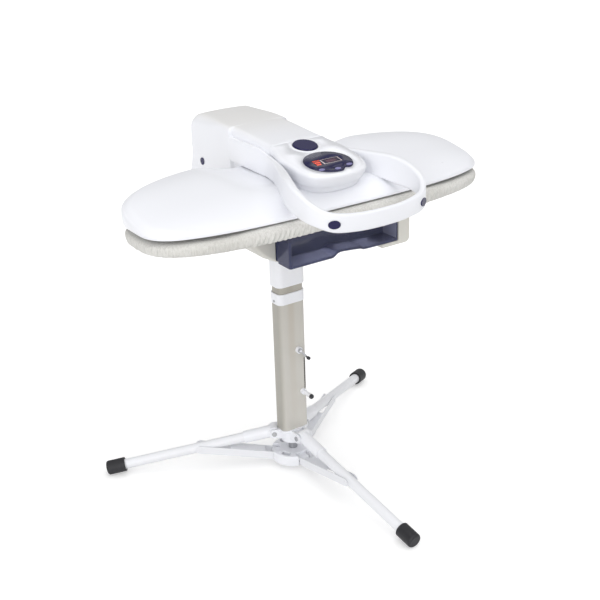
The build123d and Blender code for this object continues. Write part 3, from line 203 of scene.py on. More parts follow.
def make_edges():
    """Rounded edges as a normal, and a mask that is 1 along them."""
    group, entry, leave = effect("soft edges", [("Radius", "NodeSocketFloat", 0.001)],
                                 [("Normal", "NodeSocketVector"), ("Edge", "NodeSocketFloat")])
    mask_strength = 6.0
    bevel = node(group, "ShaderNodeBevel", samples=4, Radius=entry.outputs["Radius"])
    flat = group.nodes.new("ShaderNodeNewGeometry")
    turn = node(group, "ShaderNodeVectorMath", operation="DOT_PRODUCT")
    link(group, bevel.outputs["Normal"], turn.inputs[0])
    link(group, flat.outputs["Normal"], turn.inputs[1])
    away = times(group, minus(group, 1.0, turn.outputs["Value"]), mask_strength)
    link(group, number(group, "MINIMUM", away, 1.0), leave.inputs["Edge"])
    link(group, bevel.outputs["Normal"], leave.inputs["Normal"])
    return group


def make_weave():
    """Plain weave seen as crossing threads, in object space."""
    group, entry, leave = effect("plain weave", [("Threads", "NodeSocketFloat", 700.0)],
                                 [("Height", "NodeSocketFloat"), ("Gap", "NodeSocketFloat")])
    # The threads keep running where the cover turns round the board's edge
    warp_slant = 0.8
    weft_slant = 0.3
    gap_level = 0.22
    waves = times(group, entry.outputs["Threads"], 2 * math.pi)
    depth = place_axis(group, "Y")
    around = plus(group, place_axis(group, "X"), times(group, depth, warp_slant))
    rise = plus(group, place_axis(group, "Z"), times(group, depth, weft_slant))
    warp = number(group, "SINE", times(group, around, waves))
    weft = number(group, "SINE", times(group, rise, waves))
    height = plus(group, times(group, times(group, warp, weft), 0.5), 0.5)
    link(group, height, leave.inputs["Height"])
    link(group, number(group, "LESS_THAN", height, gap_level), leave.inputs["Gap"])
    return group


grain = make_grain()
handling = make_handling()
soft_edges = make_edges()
plain_weave = make_weave()


def use(tree, group, **values):
    """Places a shared effect in a finish, with its own values."""
    return node(tree, "ShaderNodeGroup", node_tree=group, **values)


def bump(tree, height, depth, normal=None):
    """A normal raised by a height, over another normal where given."""
    made = node(tree, "ShaderNodeBump", Height=height, Distance=depth)
    if normal:
        link(tree, normal, made.inputs["Normal"])
    return made.outputs["Normal"]


def moulded_surface(tree, edge_radius, grain_scale, grain_depth):
    """Rounded edges with fine grain: the normal, the edge mask and the speckle."""
    edges = use(tree, soft_edges, Radius=edge_radius)
    grains = use(tree, grain, Scale=grain_scale)
    normal = bump(tree, grains.outputs["Height"], grain_depth, edges.outputs["Normal"])
    return normal, edges.outputs["Edge"], grains.outputs["Speckle"]


def start_finish(name):
    """A material with its tree and its shader."""
    material = bpy.data.materials.new(name)
    material.use_nodes = True
    return material, material.node_tree, material.node_tree.nodes["Principled BSDF"]


def dress(tree, shader, base, normal, drift=None):
    """Leads a finish's colour, normal and drifting gloss to the shader."""
    link(tree, base, shader.inputs["Base Color"])
    link(tree, normal, shader.inputs["Normal"])
    if drift:
        link(tree, drift.outputs["Roughness"], shader.inputs["Roughness"])


def shell_finish(name, base, tone, gloss, amount=0.25, edge_radius=0.8 * mm, edge_tone=None,
                 grain_scale=900.0, grain_depth=0.02 * mm, coat=0.0, spread=0.1, specular=0.5):
    """A hard shell: drifting colour and gloss, fine grain, rounded edges with a little wear on them."""
    material, tree, shader = start_finish(name)
    drift = use(tree, handling, Color=base, Tone=tone, Amount=amount, Gloss=gloss, Spread=spread)
    normal, edge, speckle = moulded_surface(tree, edge_radius, grain_scale, grain_depth)
    worn = times(tree, edge, times(tree, speckle, 0.5))
    dress(tree, shader, blend_colours(tree, worn, drift.outputs["Color"], edge_tone or tone), normal, drift)
    shader.inputs["Coat Weight"].default_value = coat
    shader.inputs["Specular IOR Level"].default_value = specular
    return material


# Finishes of the press

def woven_cotton():
    """The board's heat-resistant cover: an oatmeal weave with thicker threads here and there."""
    material, tree, shader = start_finish("woven cotton")
    slub_from = 0.42
    slub_shade = 1.3
    gap_shade = 0.35
    drift = use(tree, handling, Color=colour(238, 237, 234), Tone=colour(208, 206, 199), Amount=0.9,
                Gloss=0.9, Spread=0.08)
    weave = use(tree, plain_weave, Threads=620.0)
    slub = place_noise(tree, 260.0, 3.0, (1.0, 1.0, 0.25))
    shadow = larger(tree, times(tree, minus(tree, slub, slub_from), slub_shade), 0.0)
    speckled = blend_colours(tree, shadow, drift.outputs["Color"], colour(172, 170, 162))
    gap = times(tree, weave.outputs["Gap"], gap_shade)
    cloth = blend_colours(tree, gap, speckled, colour(160, 158, 150))
    threads = bump(tree, weave.outputs["Height"], 0.25 * mm)
    dress(tree, shader, cloth, bump(tree, slub, 0.8 * mm, threads), drift)
    shader.inputs["Sheen Weight"].default_value = 0.25
    shader.inputs["Sheen Roughness"].default_value = 0.6
    return material


def open_foam():
    """Cream open-cell foam, pitted all over, with painted shade in its pores."""
    material, tree, shader = start_finish("open-cell foam")
    cells = node(tree, "ShaderNodeTexVoronoi", Vector=place(tree), Scale=700.0)
    pits_and_pore_shade = times(tree, cells.outputs["Distance"], 1.4)
    # Painted shade: darker in the middle of each pore
    cream = blend_colours(tree, pits_and_pore_shade, colour(170, 160, 128), colour(240, 234, 212))
    dress(tree, shader, cream, bump(tree, pits_and_pore_shade, 0.6 * mm))
    shader.inputs["Roughness"].default_value = 0.95
    return material


def tinted_tank():
    """Dark navy see-through plastic, with painted light: paler where light lies on the faces that look up or
    comes through its walls, and a painted highlight along its rounded edges.
    """
    material, tree, shader = start_finish("tinted tank plastic")
    drift = use(tree, handling, Color=colour(72, 78, 124), Tone=colour(58, 64, 108), Amount=0.8, Gloss=0.14,
                Spread=0.1)
    edges = use(tree, soft_edges, Radius=1.0 * mm)
    flow_marks = place_noise(tree, 30.0, 2.0, (0.3, 1.0, 1.0))
    # Painted light: paler on the faces that look up
    painted_floor_light = times(tree, facing(tree, "Z", 1), 0.45)
    # Painted light inside: the rear wall glows a little and the right end's wall glows more
    behind_front = number(tree, "GREATER_THAN", place_axis(tree, "Y", "Generated"), 0.06)
    right_end = number(tree, "GREATER_THAN", place_axis(tree, "X", "Generated"), 0.6)
    painted_rear_wall_light = times(tree, times(tree, facing(tree, "Y", -1), behind_front), 0.35)
    painted_end_wall_light = times(tree, facing(tree, "X", -1), right_end)
    # Together, the painted light that makes the plastic paler
    glow = larger(tree, painted_floor_light, larger(tree, painted_rear_wall_light, painted_end_wall_light))
    paler = blend_colours(tree, glow, drift.outputs["Color"], colour(196, 199, 226))
    # Painted highlight: paler along the rounded edges
    rim = times(tree, edges.outputs["Edge"], 0.5)
    edge_highlighted = blend_colours(tree, rim, paler, colour(168, 172, 204))
    dress(tree, shader, edge_highlighted, bump(tree, flow_marks, 0.15 * mm, edges.outputs["Normal"]), drift)
    shader.inputs["Metallic"].default_value = 0.0
    shader.inputs["Transmission Weight"].default_value = 0.62
    shader.inputs["IOR"].default_value = 1.46
    return material


def lit_panel():
    """The lit display: short red-orange bars on the left, a dark field in a pale outline on the right."""
    material, tree, shader = start_finish("lit display")
    across = place_axis(tree, "X", "Generated")
    along = place_axis(tree, "Y", "Generated")
    bar_count = 19.0
    row_count = 3.0
    bars_from = 0.05
    bars_to = 0.2
    bars_slant = 0.12
    field_middle = 0.64
    outline_place = 0.41
    outline_half_width = 0.025
    # Left: rows of bars that grow shorter towards the front
    bars = number(tree, "GREATER_THAN", number(tree, "FRACT", times(tree, across, bar_count)), 0.3)
    rows = number(tree, "GREATER_THAN", number(tree, "FRACT", times(tree, along, row_count)), 0.25)
    reach = number(tree, "LESS_THAN", across, plus(tree, times(tree, along, bars_slant), bars_to))
    clear = number(tree, "GREATER_THAN", across, bars_from)
    graph = times(tree, times(tree, bars, rows), times(tree, reach, clear))
    # Right: a frame line round a dark field with a faint counter strip
    from_side = times(tree, distance(tree, across, field_middle), 1.35)
    from_level = times(tree, distance(tree, along, 0.5), 1.1)
    from_middle = larger(tree, from_side, from_level)
    outline = number(tree, "COMPARE", from_middle, outline_place)
    outline.node.inputs[2].default_value = outline_half_width
    strip = times(tree, number(tree, "LESS_THAN", from_middle, 0.24), times(tree, bars, 0.4))
    warm = blend_colours(tree, graph, colour(30, 24, 44), colour(232, 92, 66))
    framed = blend_colours(tree, outline, warm, colour(178, 166, 168))
    lit = blend_colours(tree, strip, framed, colour(120, 70, 84))
    link(tree, lit, shader.inputs["Emission Color"])
    link(tree, lit, shader.inputs["Base Color"])
    shader.inputs["Emission Strength"].default_value = 0.7
    shader.inputs["Roughness"].default_value = 0.25
    return material


def circuit_green():
    """Circuit board: green mask with paler tracks."""
    material, tree, shader = start_finish("circuit board")
    tracks = node(tree, "ShaderNodeTexBrick", Vector=place(tree), Scale=160.0, Color1=colour(24, 96, 52),
                  Color2=colour(20, 80, 46), Mortar=colour(60, 140, 84))
    dress(tree, shader, tracks.outputs["Color"], bump(tree, tracks.outputs["Fac"], 0.05 * mm))
    shader.inputs["Roughness"].default_value = 0.35
    return material


def brushed(name, base, tone, gloss, stretch):
    """Bare metal with fine lines drawn along one axis."""
    material, tree, shader = start_finish(name)
    lines = place_noise(tree, 500.0, 4.0, stretch)
    drift = use(tree, handling, Color=base, Tone=tone, Amount=0.5, Gloss=gloss, Spread=0.15)
    edges = use(tree, soft_edges, Radius=0.4 * mm)
    drawn = blend_colours(tree, times(tree, lines, 0.5), drift.outputs["Color"], tone)
    dress(tree, shader, drawn, bump(tree, lines, 0.02 * mm, edges.outputs["Normal"]), drift)
    shader.inputs["Metallic"].default_value = 1.0
    return material


def satin_pillar(name, base, painted_shade_tone, warm_and_reflected_tone):
    """Satin paint on a drawn profile, with painted light: painted shade on the sides and towards the top
    under the board, so it is paler to the foot, and a warm streak down the front that is a painted
    reflection.
    """
    material, tree, shader = start_finish(name)
    drift = use(tree, handling, Color=base, Tone=warm_and_reflected_tone, Amount=0.3, Gloss=0.36, Spread=0.1)
    foot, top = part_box("pillar")
    climb = ramp(tree, place_axis(tree, "Z"), foot.z, top.z, "LINEAR")
    lines = place_noise(tree, 420.0, 3.0, (1.0, 1.0, 0.03))
    # The streak is a painted reflection: it stands left of the middle and grows stronger towards the top
    reflection_x = -6 * mm
    streak = ramp(tree, distance(tree, place_axis(tree, "X"), reflection_x), 15 * mm, 3 * mm)
    reflection_share = times(tree, streak, times(tree, facing(tree, "Y", -1), climb))
    reflected = blend_colours(tree, times(tree, reflection_share, 0.5), drift.outputs["Color"], warm_and_reflected_tone)
    # Painted shade: darker towards the top, under the board
    top_shaded = blend_colours(tree, times(tree, climb, 0.25), reflected, painted_shade_tone)
    # Painted shade on the side that faces left
    side_shaded = blend_colours(tree, times(tree, facing(tree, "X", -1), 0.85), top_shaded, painted_shade_tone)
    drawn = blend_colours(tree, times(tree, lines, 0.16), side_shaded, warm_and_reflected_tone)
    edges = use(tree, soft_edges, Radius=0.8 * mm)
    dress(tree, shader, drawn, bump(tree, lines, 0.04 * mm, edges.outputs["Normal"]), drift)
    shader.inputs["Metallic"].default_value = 0.1
    shader.inputs["Coat Weight"].default_value = 0.15
    return material


def capped_knob():
    """The clamp knob's grip: white, with a black cap on its outer end."""
    material, tree, shader = start_finish("capped knob")
    white = use(tree, handling, Color=colour(240, 240, 243), Tone=colour(226, 226, 230), Amount=0.3,
                Gloss=0.35, Spread=0.1)
    low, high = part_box("clamp_tip")
    cap_share = 0.38
    cap = number(tree, "LESS_THAN", place_axis(tree, "Y"), low.y + cap_share * (high.y - low.y))
    capped = blend_colours(tree, cap, white.outputs["Color"], colour(34, 34, 40))
    normal, _, _ = moulded_surface(tree, 0.8 * mm, 700.0, 0.03 * mm)
    dress(tree, shader, capped, normal, white)
    return material


def housing_with_roof_shade():
    """The housing's moulding: white, with painted shade of a faintly warm grey on the roof at the rear that
    turns to the pod's white.
    """
    material, tree, shader = start_finish("housing moulding")
    white = use(tree, handling, Color=colour(244, 245, 250), Tone=colour(232, 234, 238), Amount=0.25,
                Gloss=0.32, Spread=0.1)
    rearward = ramp(tree, place_axis(tree, "Y"), -60 * mm, 160 * mm)
    # Painted shade: the faces that look up grow greyer towards the rear
    roof_shade_share = times(tree, rearward, facing(tree, "Z", 1))
    roof_shaded = blend_colours(tree, roof_shade_share, white.outputs["Color"], colour(232, 231, 230))
    normal, _, _ = moulded_surface(tree, 1.2 * mm, 700.0, 0.03 * mm)
    dress(tree, shader, roof_shaded, normal, white)
    shader.inputs["Coat Weight"].default_value = 0.2
    return material


finishes = {
    "white_plastic": shell_finish("white moulding", colour(244, 245, 250), colour(232, 234, 238), 0.3,
                                  coat=0.25, edge_radius=1.2 * mm, grain_depth=0.012 * mm),
    "white_paint": shell_finish("white powder coat", colour(240, 241, 245), colour(224, 225, 228), 0.34,
                                grain_scale=420.0, grain_depth=0.05 * mm, coat=0.15),
    "warm_plastic": shell_finish("warm grey moulding", colour(220, 218, 211), colour(202, 200, 191), 0.45,
                                 amount=0.5, grain_depth=0.05 * mm, edge_radius=1.5 * mm),
    "black_plastic": shell_finish("black moulding", colour(38, 38, 42), colour(58, 58, 62), 0.42, amount=0.4,
                                  edge_tone=colour(96, 96, 100), grain_depth=0.05 * mm),
    "dark_rubber": shell_finish("black rubber", colour(26, 26, 31), colour(40, 40, 44), 0.55, amount=0.6,
                                edge_tone=colour(70, 70, 74), grain_scale=500.0, grain_depth=0.12 * mm),
    "display_dark": shell_finish("navy display cover", colour(25, 25, 66), colour(34, 33, 78), 0.12,
                                 coat=0.15, grain_depth=0.002 * mm, spread=0.03, specular=0.3),
    "violet_plastic": shell_finish("deep violet moulding", colour(30, 28, 72), colour(42, 38, 88), 0.25,
                                   specular=0.3, edge_tone=colour(92, 84, 136), grain_depth=0.01 * mm),
    "lavender_plastic": shell_finish("lavender keys", colour(128, 124, 172), colour(150, 146, 190), 0.4,
                                     amount=0.4, edge_radius=0.5 * mm),
    "pillar_finish": satin_pillar("satin pillar paint", colour(210, 209, 204), colour(160, 158, 150),
                                  colour(190, 178, 162)),
    "steel": brushed("plain steel", colour(196, 197, 200), colour(150, 150, 152), 0.28, (1.0, 1.0, 0.05)),
    "aluminium": brushed("machined aluminium", colour(208, 209, 212), colour(176, 177, 180), 0.34,
                         (0.04, 1.0, 1.0)),
    "navy_tank": tinted_tank(),
    "display_glow": lit_panel(),
    "board_green": circuit_green(),
    "foam": open_foam(),
    "pad_fabric": woven_cotton(),
}
housing_shaded_roof = housing_with_roof_shade()
column_beige = satin_pillar("satin column paint", colour(188, 184, 175), colour(160, 156, 147),
                            colour(160, 154, 142))
knob_grip = capped_knob()

own_finishes = {"inner_column": column_beige, "clamp_tip": knob_grip}
for part in frame["record"]["subparts"]:
    carried = frame["nodes"][part["node"]]
    carried_finish = own_finishes.get(part["node"], finishes[part["material_slot"]])
    if not carried.material_slots:
        carried.data.materials.append(carried_finish)
    for carried_slot in carried.material_slots:
        carried_slot.material = carried_finish


# Mesh tools

def piece(name, mesh, body, slot, stands_for, finish=None):
    """A finished piece: shaded smooth, with its finish, riding on its body in place of a node."""
    made = bpy.data.objects.new(name, mesh)
    bpy.context.collection.objects.link(made)
    mesh.materials.append(finish or finishes[slot])
    for face in mesh.polygons:
        face.use_smooth = True
    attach(made, body)
    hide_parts(stands_for)
    return made


def close_seams(work, reach):
    """Joins the points that lie within a reach of each other."""
    bmesh.ops.remove_doubles(work, verts=work.verts, dist=reach)


def write_back(work, mesh):
    """Puts the worked shape into its mesh."""
    work.to_mesh(mesh)
    work.free()


def skin(name, rings, closed=True, start_cap=False, end_cap=False):
    """A mesh through rings that have the same number of points."""
    count = len(rings[0])
    faces = []
    for row in range(len(rings) - 1):
        for column in range(count if closed else count - 1):
            here = row * count + column
            beside = row * count + (column + 1) % count
            faces.append((here, beside, beside + count, here + count))
    if start_cap:
        faces.append(tuple(reversed(range(count))))
    if end_cap:
        faces.append(tuple(range((len(rings) - 1) * count, len(rings) * count)))
    mesh = bpy.data.meshes.new(name)
    mesh.from_pydata([point for ring in rings for point in ring], [], faces)
    mesh.validate()
    work = bmesh.new()
    work.from_mesh(mesh)
    close_seams(work, 1e-6)
    bmesh.ops.recalc_face_normals(work, faces=work.faces)
    write_back(work, mesh)
    return mesh


def give_wall(made, thickness):
    """Thickens a skin inwards to a wall."""
    wall = made.modifiers.new("wall", "SOLIDIFY")
    wall.thickness = thickness
    wall.offset = -1


def quarter(steps):
    """Turns of a quarter circle in equal steps, from 0 to 90 degrees."""
    return [math.radians(90 * step / steps) for step in range(steps + 1)]


def full_turn(count):
    """Turns once round a circle, without the last, which is the first again."""
    return [2 * math.pi * step / count for step in range(count)]


def smooth_step(value, low, high):
    """0 up to the low value and 1 from the high value on, smooth between them."""
    share = min(1.0, max(0.0, (value - low) / (high - low)))
    return share * share * (3 - 2 * share)


def curve_point(points, share):
    """A point on the smooth curve through a list of points, share running from 0 to 1 along the list."""
    last = len(points) - 1
    position = min(last - 1e-9, max(0.0, share * last))
    index = int(position)
    local = position - index
    before = points[max(index - 1, 0)]
    start = points[index]
    end = points[index + 1]
    after = points[min(index + 2, last)]
    result = []
    for a, b, c, d in zip(before, start, end, after):
        slope_in = (c - a) / 2
        slope_out = (d - b) / 2
        result.append((2 * b - 2 * c + slope_in + slope_out) * local ** 3
                      + (3 * c - 3 * b - 2 * slope_in - slope_out) * local ** 2 + slope_in * local + b)
    return result


def height_along(points, y):
    """The height of a smooth side line at a depth y, its points running from the rear to the front."""
    for index, (start, end) in enumerate(zip(points, points[1:])):
        if y >= end[0]:
            break
    share = (y - start[0]) / (end[0] - start[0])
    return curve_point(points, (index + share) / (len(points) - 1))[1]


squareness = 3.05


def oval(half_length, front, rear, count):
    """Points of the squared oval that the board and the cover share, with its own depths front and rear."""
    points = []
    for turn in full_turn(count):
        along = math.copysign(abs(math.cos(turn)) ** (2 / squareness), math.cos(turn))
        across = math.copysign(abs(math.sin(turn)) ** (2 / squareness), math.sin(turn))
        points.append((half_length * along, (rear if across > 0 else front) * across))
    return points


def oval_outward(point, centre_y, half_length, half_depth):
    """The level direction that points straight out of an oval's edge."""
    return Vector((point.x / half_length ** 2, (point.y - centre_y) / half_depth ** 2, 0)).normalized()


# Head cover: a dome that leans to the front, cut flat at its seam

cover_low, cover_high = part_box("head_cover")
cover_seam = cover_low.z
cover_half_length = cover_high.x
cover_centre_y = -127 * mm
cover_front = 153 * mm
cover_rear = cover_high.y - cover_centre_y
cover_lip = 24.5 * mm
cover_rise = 30 * mm
cover_rim = 14 * mm
cover_lean = 0.198
cover_wall = 3 * mm
dome_exponent = 2.46
rim_foot = cover_lip - cover_rim
curl_height = 10 * mm
curl_depth = 4 * mm
# The dip beside the neck, and the raised middle of the front
valley_inner = 88 * mm
valley_outer = 235 * mm
valley_rear_y = -105 * mm
valley_front_y = -200 * mm
valley_floor = 34.5 * mm
centre_inner = 122 * mm
centre_outer = 148 * mm
centre_rear_y = -175 * mm
centre_front_y = -215 * mm
centre_low = 2 * mm
centre_full = 26 * mm
centre_lift = 6.5 * mm


def dome_height(share):
    """The dome's height over the seam at its centre line, for a ring drawn in by a share of its depth."""
    return cover_lip + cover_rise * (1 - (1 - share) ** dome_exponent)


# Height, inset and share of the dome's profile, from under the seam to its middle
wall_heights = (-60 * mm, -30 * mm, -8 * mm, rim_foot - 6 * mm, rim_foot)
dome_profile = [(height, 0, 0) for height in wall_heights]
for rim_turn in (20, 40, 60):
    arc = math.radians(rim_turn)
    dome_profile.append((rim_foot + cover_rim * math.sin(arc), cover_rim * (1 - math.cos(arc)), 0))
for dome_share in (0.1, 0.17, 0.26, 0.38, 0.52, 0.68, 0.84, 0.96):
    dome_profile.append((dome_height(dome_share), 0, dome_share))


def dome_point(unit_x, unit_y, travel):
    """A point of the dome on the ray of an oval's unit direction, at a travel along the profile."""
    height, inset, share = curve_point(dome_profile, travel)
    depth = cover_front if unit_y < 0 else cover_rear
    length_inset = cover_front * share * (1 + (cover_half_length / cover_front - 1) * share)
    x = unit_x * (cover_half_length - length_inset - inset)
    y = unit_y * (depth * (1 - share) - inset)
    return Vector((x, cover_centre_y + y, cover_seam + height + cover_lean * y))


def seam_travel(unit_x, unit_y):
    """Where along the profile a ray of the dome comes up through the seam."""
    low = 0.0
    high = 1.0
    for _ in range(30):
        middle = (low + high) / 2
        if dome_point(unit_x, unit_y, middle).z < cover_seam:
            low = middle
        else:
            high = middle
    return high


def centre_raise(x, y, above_seam):
    """How far the raised middle of the cover's front stands over the dome."""
    flank = 1 - smooth_step(abs(x), centre_inner, centre_outer)
    front = smooth_step(-y, -centre_rear_y, -centre_front_y)
    return centre_lift * flank * front * smooth_step(above_seam, centre_low, centre_full)


def neck_valley(x, y, above_seam):
    """How deep the cover dips beside the arm's neck, down to the lower edge of the handle's plates."""
    beside = 1 - smooth_step(abs(x), valley_inner, valley_outer)
    ahead = 1 - smooth_step(-y, -valley_rear_y, -valley_front_y)
    return max(0.0, above_seam - valley_floor) * beside * ahead


def head_cover():
    """The white oval cover from its curled rim over the dome, with the dip and the raised middle."""
    columns = 360
    rows = 64
    crowding = 1.5
    rays = oval(1, 1, 1, columns)
    starts = [seam_travel(x, y) for x, y in rays]
    rings = []
    for row in range(rows + 1):
        travel_share = (row / rows) ** crowding
        ring = []
        for (x, y), start in zip(rays, starts):
            point = dome_point(x, y, start + (1 - start) * travel_share)
            above_seam = point.z - cover_seam
            point.z += centre_raise(point.x, point.y, above_seam) - neck_valley(point.x, point.y, above_seam)
            # The rim curls under towards the seam
            curl = max(0.0, 1 - (point.z - cover_seam) / curl_height)
            outward = oval_outward(point, cover_centre_y, cover_half_length, cover_front)
            point -= outward * curl_depth * curl ** 2
            ring.append(point)
        rings.append(ring)
    mesh = skin("head cover", rings, end_cap=True)
    made = piece("head_cover_shell", mesh, "head", "white_plastic", "head_cover")
    give_wall(made, cover_wall)


head_cover()


# Arm housing: a tall wide rear part and a narrower neck beside the handle

housing_low, housing_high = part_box("arm_cover")
housing_half = housing_high.x
housing_step = 105 * mm
housing_front = housing_low.y
housing_rear = housing_high.y
housing_bottom = housing_low.z
housing_top = housing_high.z
neck_inset = 9 * mm
neck_half = housing_half - neck_inset
neck_bottom = cover_seam + 20 * mm
neck_corner = 12 * mm
rear_corner = 25 * mm
rear_round = 12 * mm
rear_flare = 9 * mm
corner_rear_y = 240 * mm
corner_front_y = 130 * mm
arch_spacing = 8 * mm
# Depth and height of the roof line, from the rear to the front
roof_line = [(housing_rear, housing_top - 44 * mm),
             (housing_rear - 6 * mm, housing_top - 24 * mm),
             (housing_rear - 18 * mm, housing_top - 12.5 * mm),
             (housing_rear - 40 * mm, housing_top - 7 * mm),
             (180 * mm, cover_seam + 124.5 * mm),
             (60 * mm, cover_seam + 119.5 * mm),
             (0, cover_seam + 115 * mm),
             (housing_front, cover_seam + 111 * mm)]


def roof_at(y):
    return height_along(roof_line, y)


def arch(y, half, top, bottom, corner, tuck=0.0, crown=1.6 * mm, flare=0.0):
    """An arch across the arm: walls that flare at the foot, rounded corners and a slightly crowned roof."""
    wall = half - tuck
    rise = top - bottom
    right = [(wall + flare, bottom), (wall + 0.55 * flare, bottom + 0.12 * rise),
             (wall + 0.2 * flare, bottom + 0.25 * rise), (wall, bottom + 0.45 * rise),
             (wall, top - corner - 12 * mm), (wall, top - corner - 3 * mm)]
    for turn in quarter(7):
        right.append((wall - corner * (1 - math.cos(turn)), top - corner * (1 - math.sin(turn))))
    for share in (0.85, 0.6, 0.3):
        right.append(((wall - corner) * share, top + crown * (1 - share ** 2)))
    left = [(-x, z) for x, z in reversed(right)]
    return [Vector((x, y, z)) for x, z in right + [(0, top + crown)] + left]


def arm_housing():
    """The housing as arches from its rear end over the step to the neck, and down to the pod's panel."""
    arches = [arch(housing_rear, housing_half, roof_at(housing_rear) - 30 * mm, housing_bottom, rear_corner,
                   tuck=26 * mm, flare=rear_flare)]
    # The rear end rounds off over a quarter turn
    for turn in reversed(quarter(6)):
        y = housing_rear - rear_round * (1 - math.sin(turn))
        tuck = rear_round * (1 - math.cos(turn))
        top = roof_at(min(y, housing_rear - 0.2 * mm)) - 0.25 * tuck
        arches.append(arch(y, housing_half, top, housing_bottom, rear_corner, tuck, flare=rear_flare))
    y = housing_rear - rear_round - arch_spacing
    while y > housing_step + 4 * mm:
        tightened = smooth_step(-y, -corner_rear_y, -corner_front_y)
        corner = rear_corner - (rear_corner - neck_corner) * tightened
        flare = rear_flare * smooth_step(y, housing_step + 30 * mm, housing_rear)
        arches.append(arch(y, housing_half, roof_at(y), housing_bottom, corner, flare=flare))
        y -= arch_spacing
    # The step in to the neck
    for ahead, tuck in ((-2 * mm, 0), (0, 0.2 * mm), (0.2 * mm, neck_inset)):
        y = housing_step - ahead
        arches.append(arch(y, housing_half, roof_at(y), housing_bottom, neck_corner, tuck))
    y = housing_step - 4 * mm
    while y > housing_front:
        arches.append(arch(y, neck_half, roof_at(y), neck_bottom, neck_corner))
        y -= arch_spacing
    # The roof runs out on the pod's panel and dips under it
    for ahead, lift, crown in ((0, 0, 0.9), (3, -0.1, 0.6), (6, -0.5, 0.3), (8.5, -4, 0)):
        top = roof_at(housing_front) + lift * mm
        arches.append(arch(housing_front - ahead * mm, neck_half, top, neck_bottom, neck_corner,
                           crown=crown * mm))
    mesh = skin("arm housing", arches, closed=False, start_cap=True)
    piece("arm_housing_shell", mesh, "head", "white_plastic", "arm_cover", housing_shaded_roof)


arm_housing()


# Control pod: a rounded cap that overhangs a drawn-in body

panel_tilt = math.radians(10.5)
panel_origin = Vector((0, -150 * mm, cover_seam + 95 * mm))
panel_along = Vector((0, math.cos(panel_tilt), math.sin(panel_tilt)))
panel_out = Vector((0, -math.sin(panel_tilt), math.cos(panel_tilt)))
pod_half_width = housing_half + 5 * mm
pod_bottom = cover_seam + 28 * mm
pod_waist_y = -185 * mm
pod_front = -250 * mm
pod_foot_half = pod_half_width - 6 * mm
pod_foot_front = pod_front + 12 * mm
pod_side_lean = 0.1
pod_front_lean = 0.52
pod_cap_depth = 32 * mm
pod_edge = 8.5 * mm
display_half_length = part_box("display_lens")[1].x
display_half_depth = 53 * mm
display_y = -193 * mm
display_lift = 0.6 * mm
wave_x = 19 * mm
wave_width = 8.5 * mm
wave_height = 9 * mm
window_half_length = 37 * mm
window_half_depth = 12.5 * mm
window_rise = 4 * mm
button_half_depth = 5 * mm
button_gap = 0.4 * mm
steam_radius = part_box("steam_button")[1].x
steam_gap = 0.6 * mm
steam_y = -101 * mm
ring_radius = 34 * mm


def on_panel(x, v, out=0.0):
    """A point on the sloping panel, v running up the slope from the panel's origin, out standing off it."""
    return panel_origin + Vector((x, 0, 0)) + panel_along * v + panel_out * out


def panel_height_at(y):
    return panel_origin.z + (y - panel_origin.y) * math.tan(panel_tilt)


def panel_v(y):
    return (y - panel_origin.y) / math.cos(panel_tilt)


display_v = panel_v(display_y)
steam_v = panel_v(steam_y)


def pod_plan(height, shrink):
    """The pod's outline from above at a height, as points that run once round it."""
    above_foot = height - pod_bottom
    half = pod_foot_half + above_foot * pod_side_lean - shrink
    front = pod_foot_front - above_foot * pod_front_lean + shrink
    rear = housing_front - shrink
    rear_half = neck_half + 0.5 * mm - shrink
    right = [(0.5 * rear_half, rear), (rear_half - 2 * mm, rear)]
    # The sides widen from the neck's width to the pod's own
    for ahead in (4, 12, 22, 32, 42, 52, 62, 72, 85, 100):
        right.append((rear_half + (half - rear_half) * smooth_step(ahead, 8, 75), rear - ahead * mm))
    nose = [(half, pod_waist_y), (0.985 * half, pod_waist_y - 0.3 * (pod_waist_y - front)),
            (0.8 * half, front + 18 * mm), (0.45 * half, front + 4 * mm), (0, front)]
    right += [tuple(curve_point(nose, step / 16)) for step in range(17)]
    left = [(-x, y) for x, y in reversed(right[:-1])]
    return [(0, rear)] + right + left


def pod_ring(level, shrink, drop=0.0):
    """A ring of the pod: level runs from 0 at its foot to 1 at the panel, shrink draws it in."""
    heights = [pod_bottom] * len(pod_plan(pod_bottom, shrink))
    # The outline depends on the height and the height on the outline, so both settle in a few rounds
    for _ in range(4):
        outline = [pod_plan(height, shrink)[index] for index, height in enumerate(heights)]
        heights = [pod_bottom + level * (panel_height_at(y) - drop - pod_bottom) for _, y in outline]
    return [Vector((x, y, height)) for (x, y), height in zip(outline, heights)]


def panel_oval(x, v, half_x, half_v, out=0.0, count=72):
    """Points of an oval on the panel."""
    return [on_panel(x + half_x * math.cos(turn), v + half_v * math.sin(turn), out)
            for turn in full_turn(count)]


def display_outline(grow=0.0, out=0.0):
    """The display's oval, with a wave in its lower edge between the middle and the right button."""
    points = []
    for turn in full_turn(96):
        x = (display_half_length + grow) * math.cos(turn)
        v = (display_half_depth + grow) * math.sin(turn)
        if v < 0:
            v += wave_height * math.exp(-((x - wave_x) / wave_width) ** 2)
        points.append(on_panel(x, display_v + v, out))
    return points


def steam_circle(radius, out=0.0):
    return panel_oval(0, steam_v, radius, radius, out)


def button_outline(key, out):
    """The clearance hole round one of the three small buttons."""
    low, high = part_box(key)
    middle = (low + high) / 2
    return panel_oval(middle.x, panel_v(middle.y), (high.x - low.x) / 2 + button_gap,
                      button_half_depth + button_gap, out, 28)


def window_outline(grow, out):
    """The oblong of the lit panel in the display's middle."""
    half = window_half_length + grow
    rise = window_half_depth + grow
    v = display_v + window_rise
    corners = ((-half, -rise), (half, -rise), (half, rise), (-half, rise))
    return [on_panel(x, v + step, out) for x, step in corners]


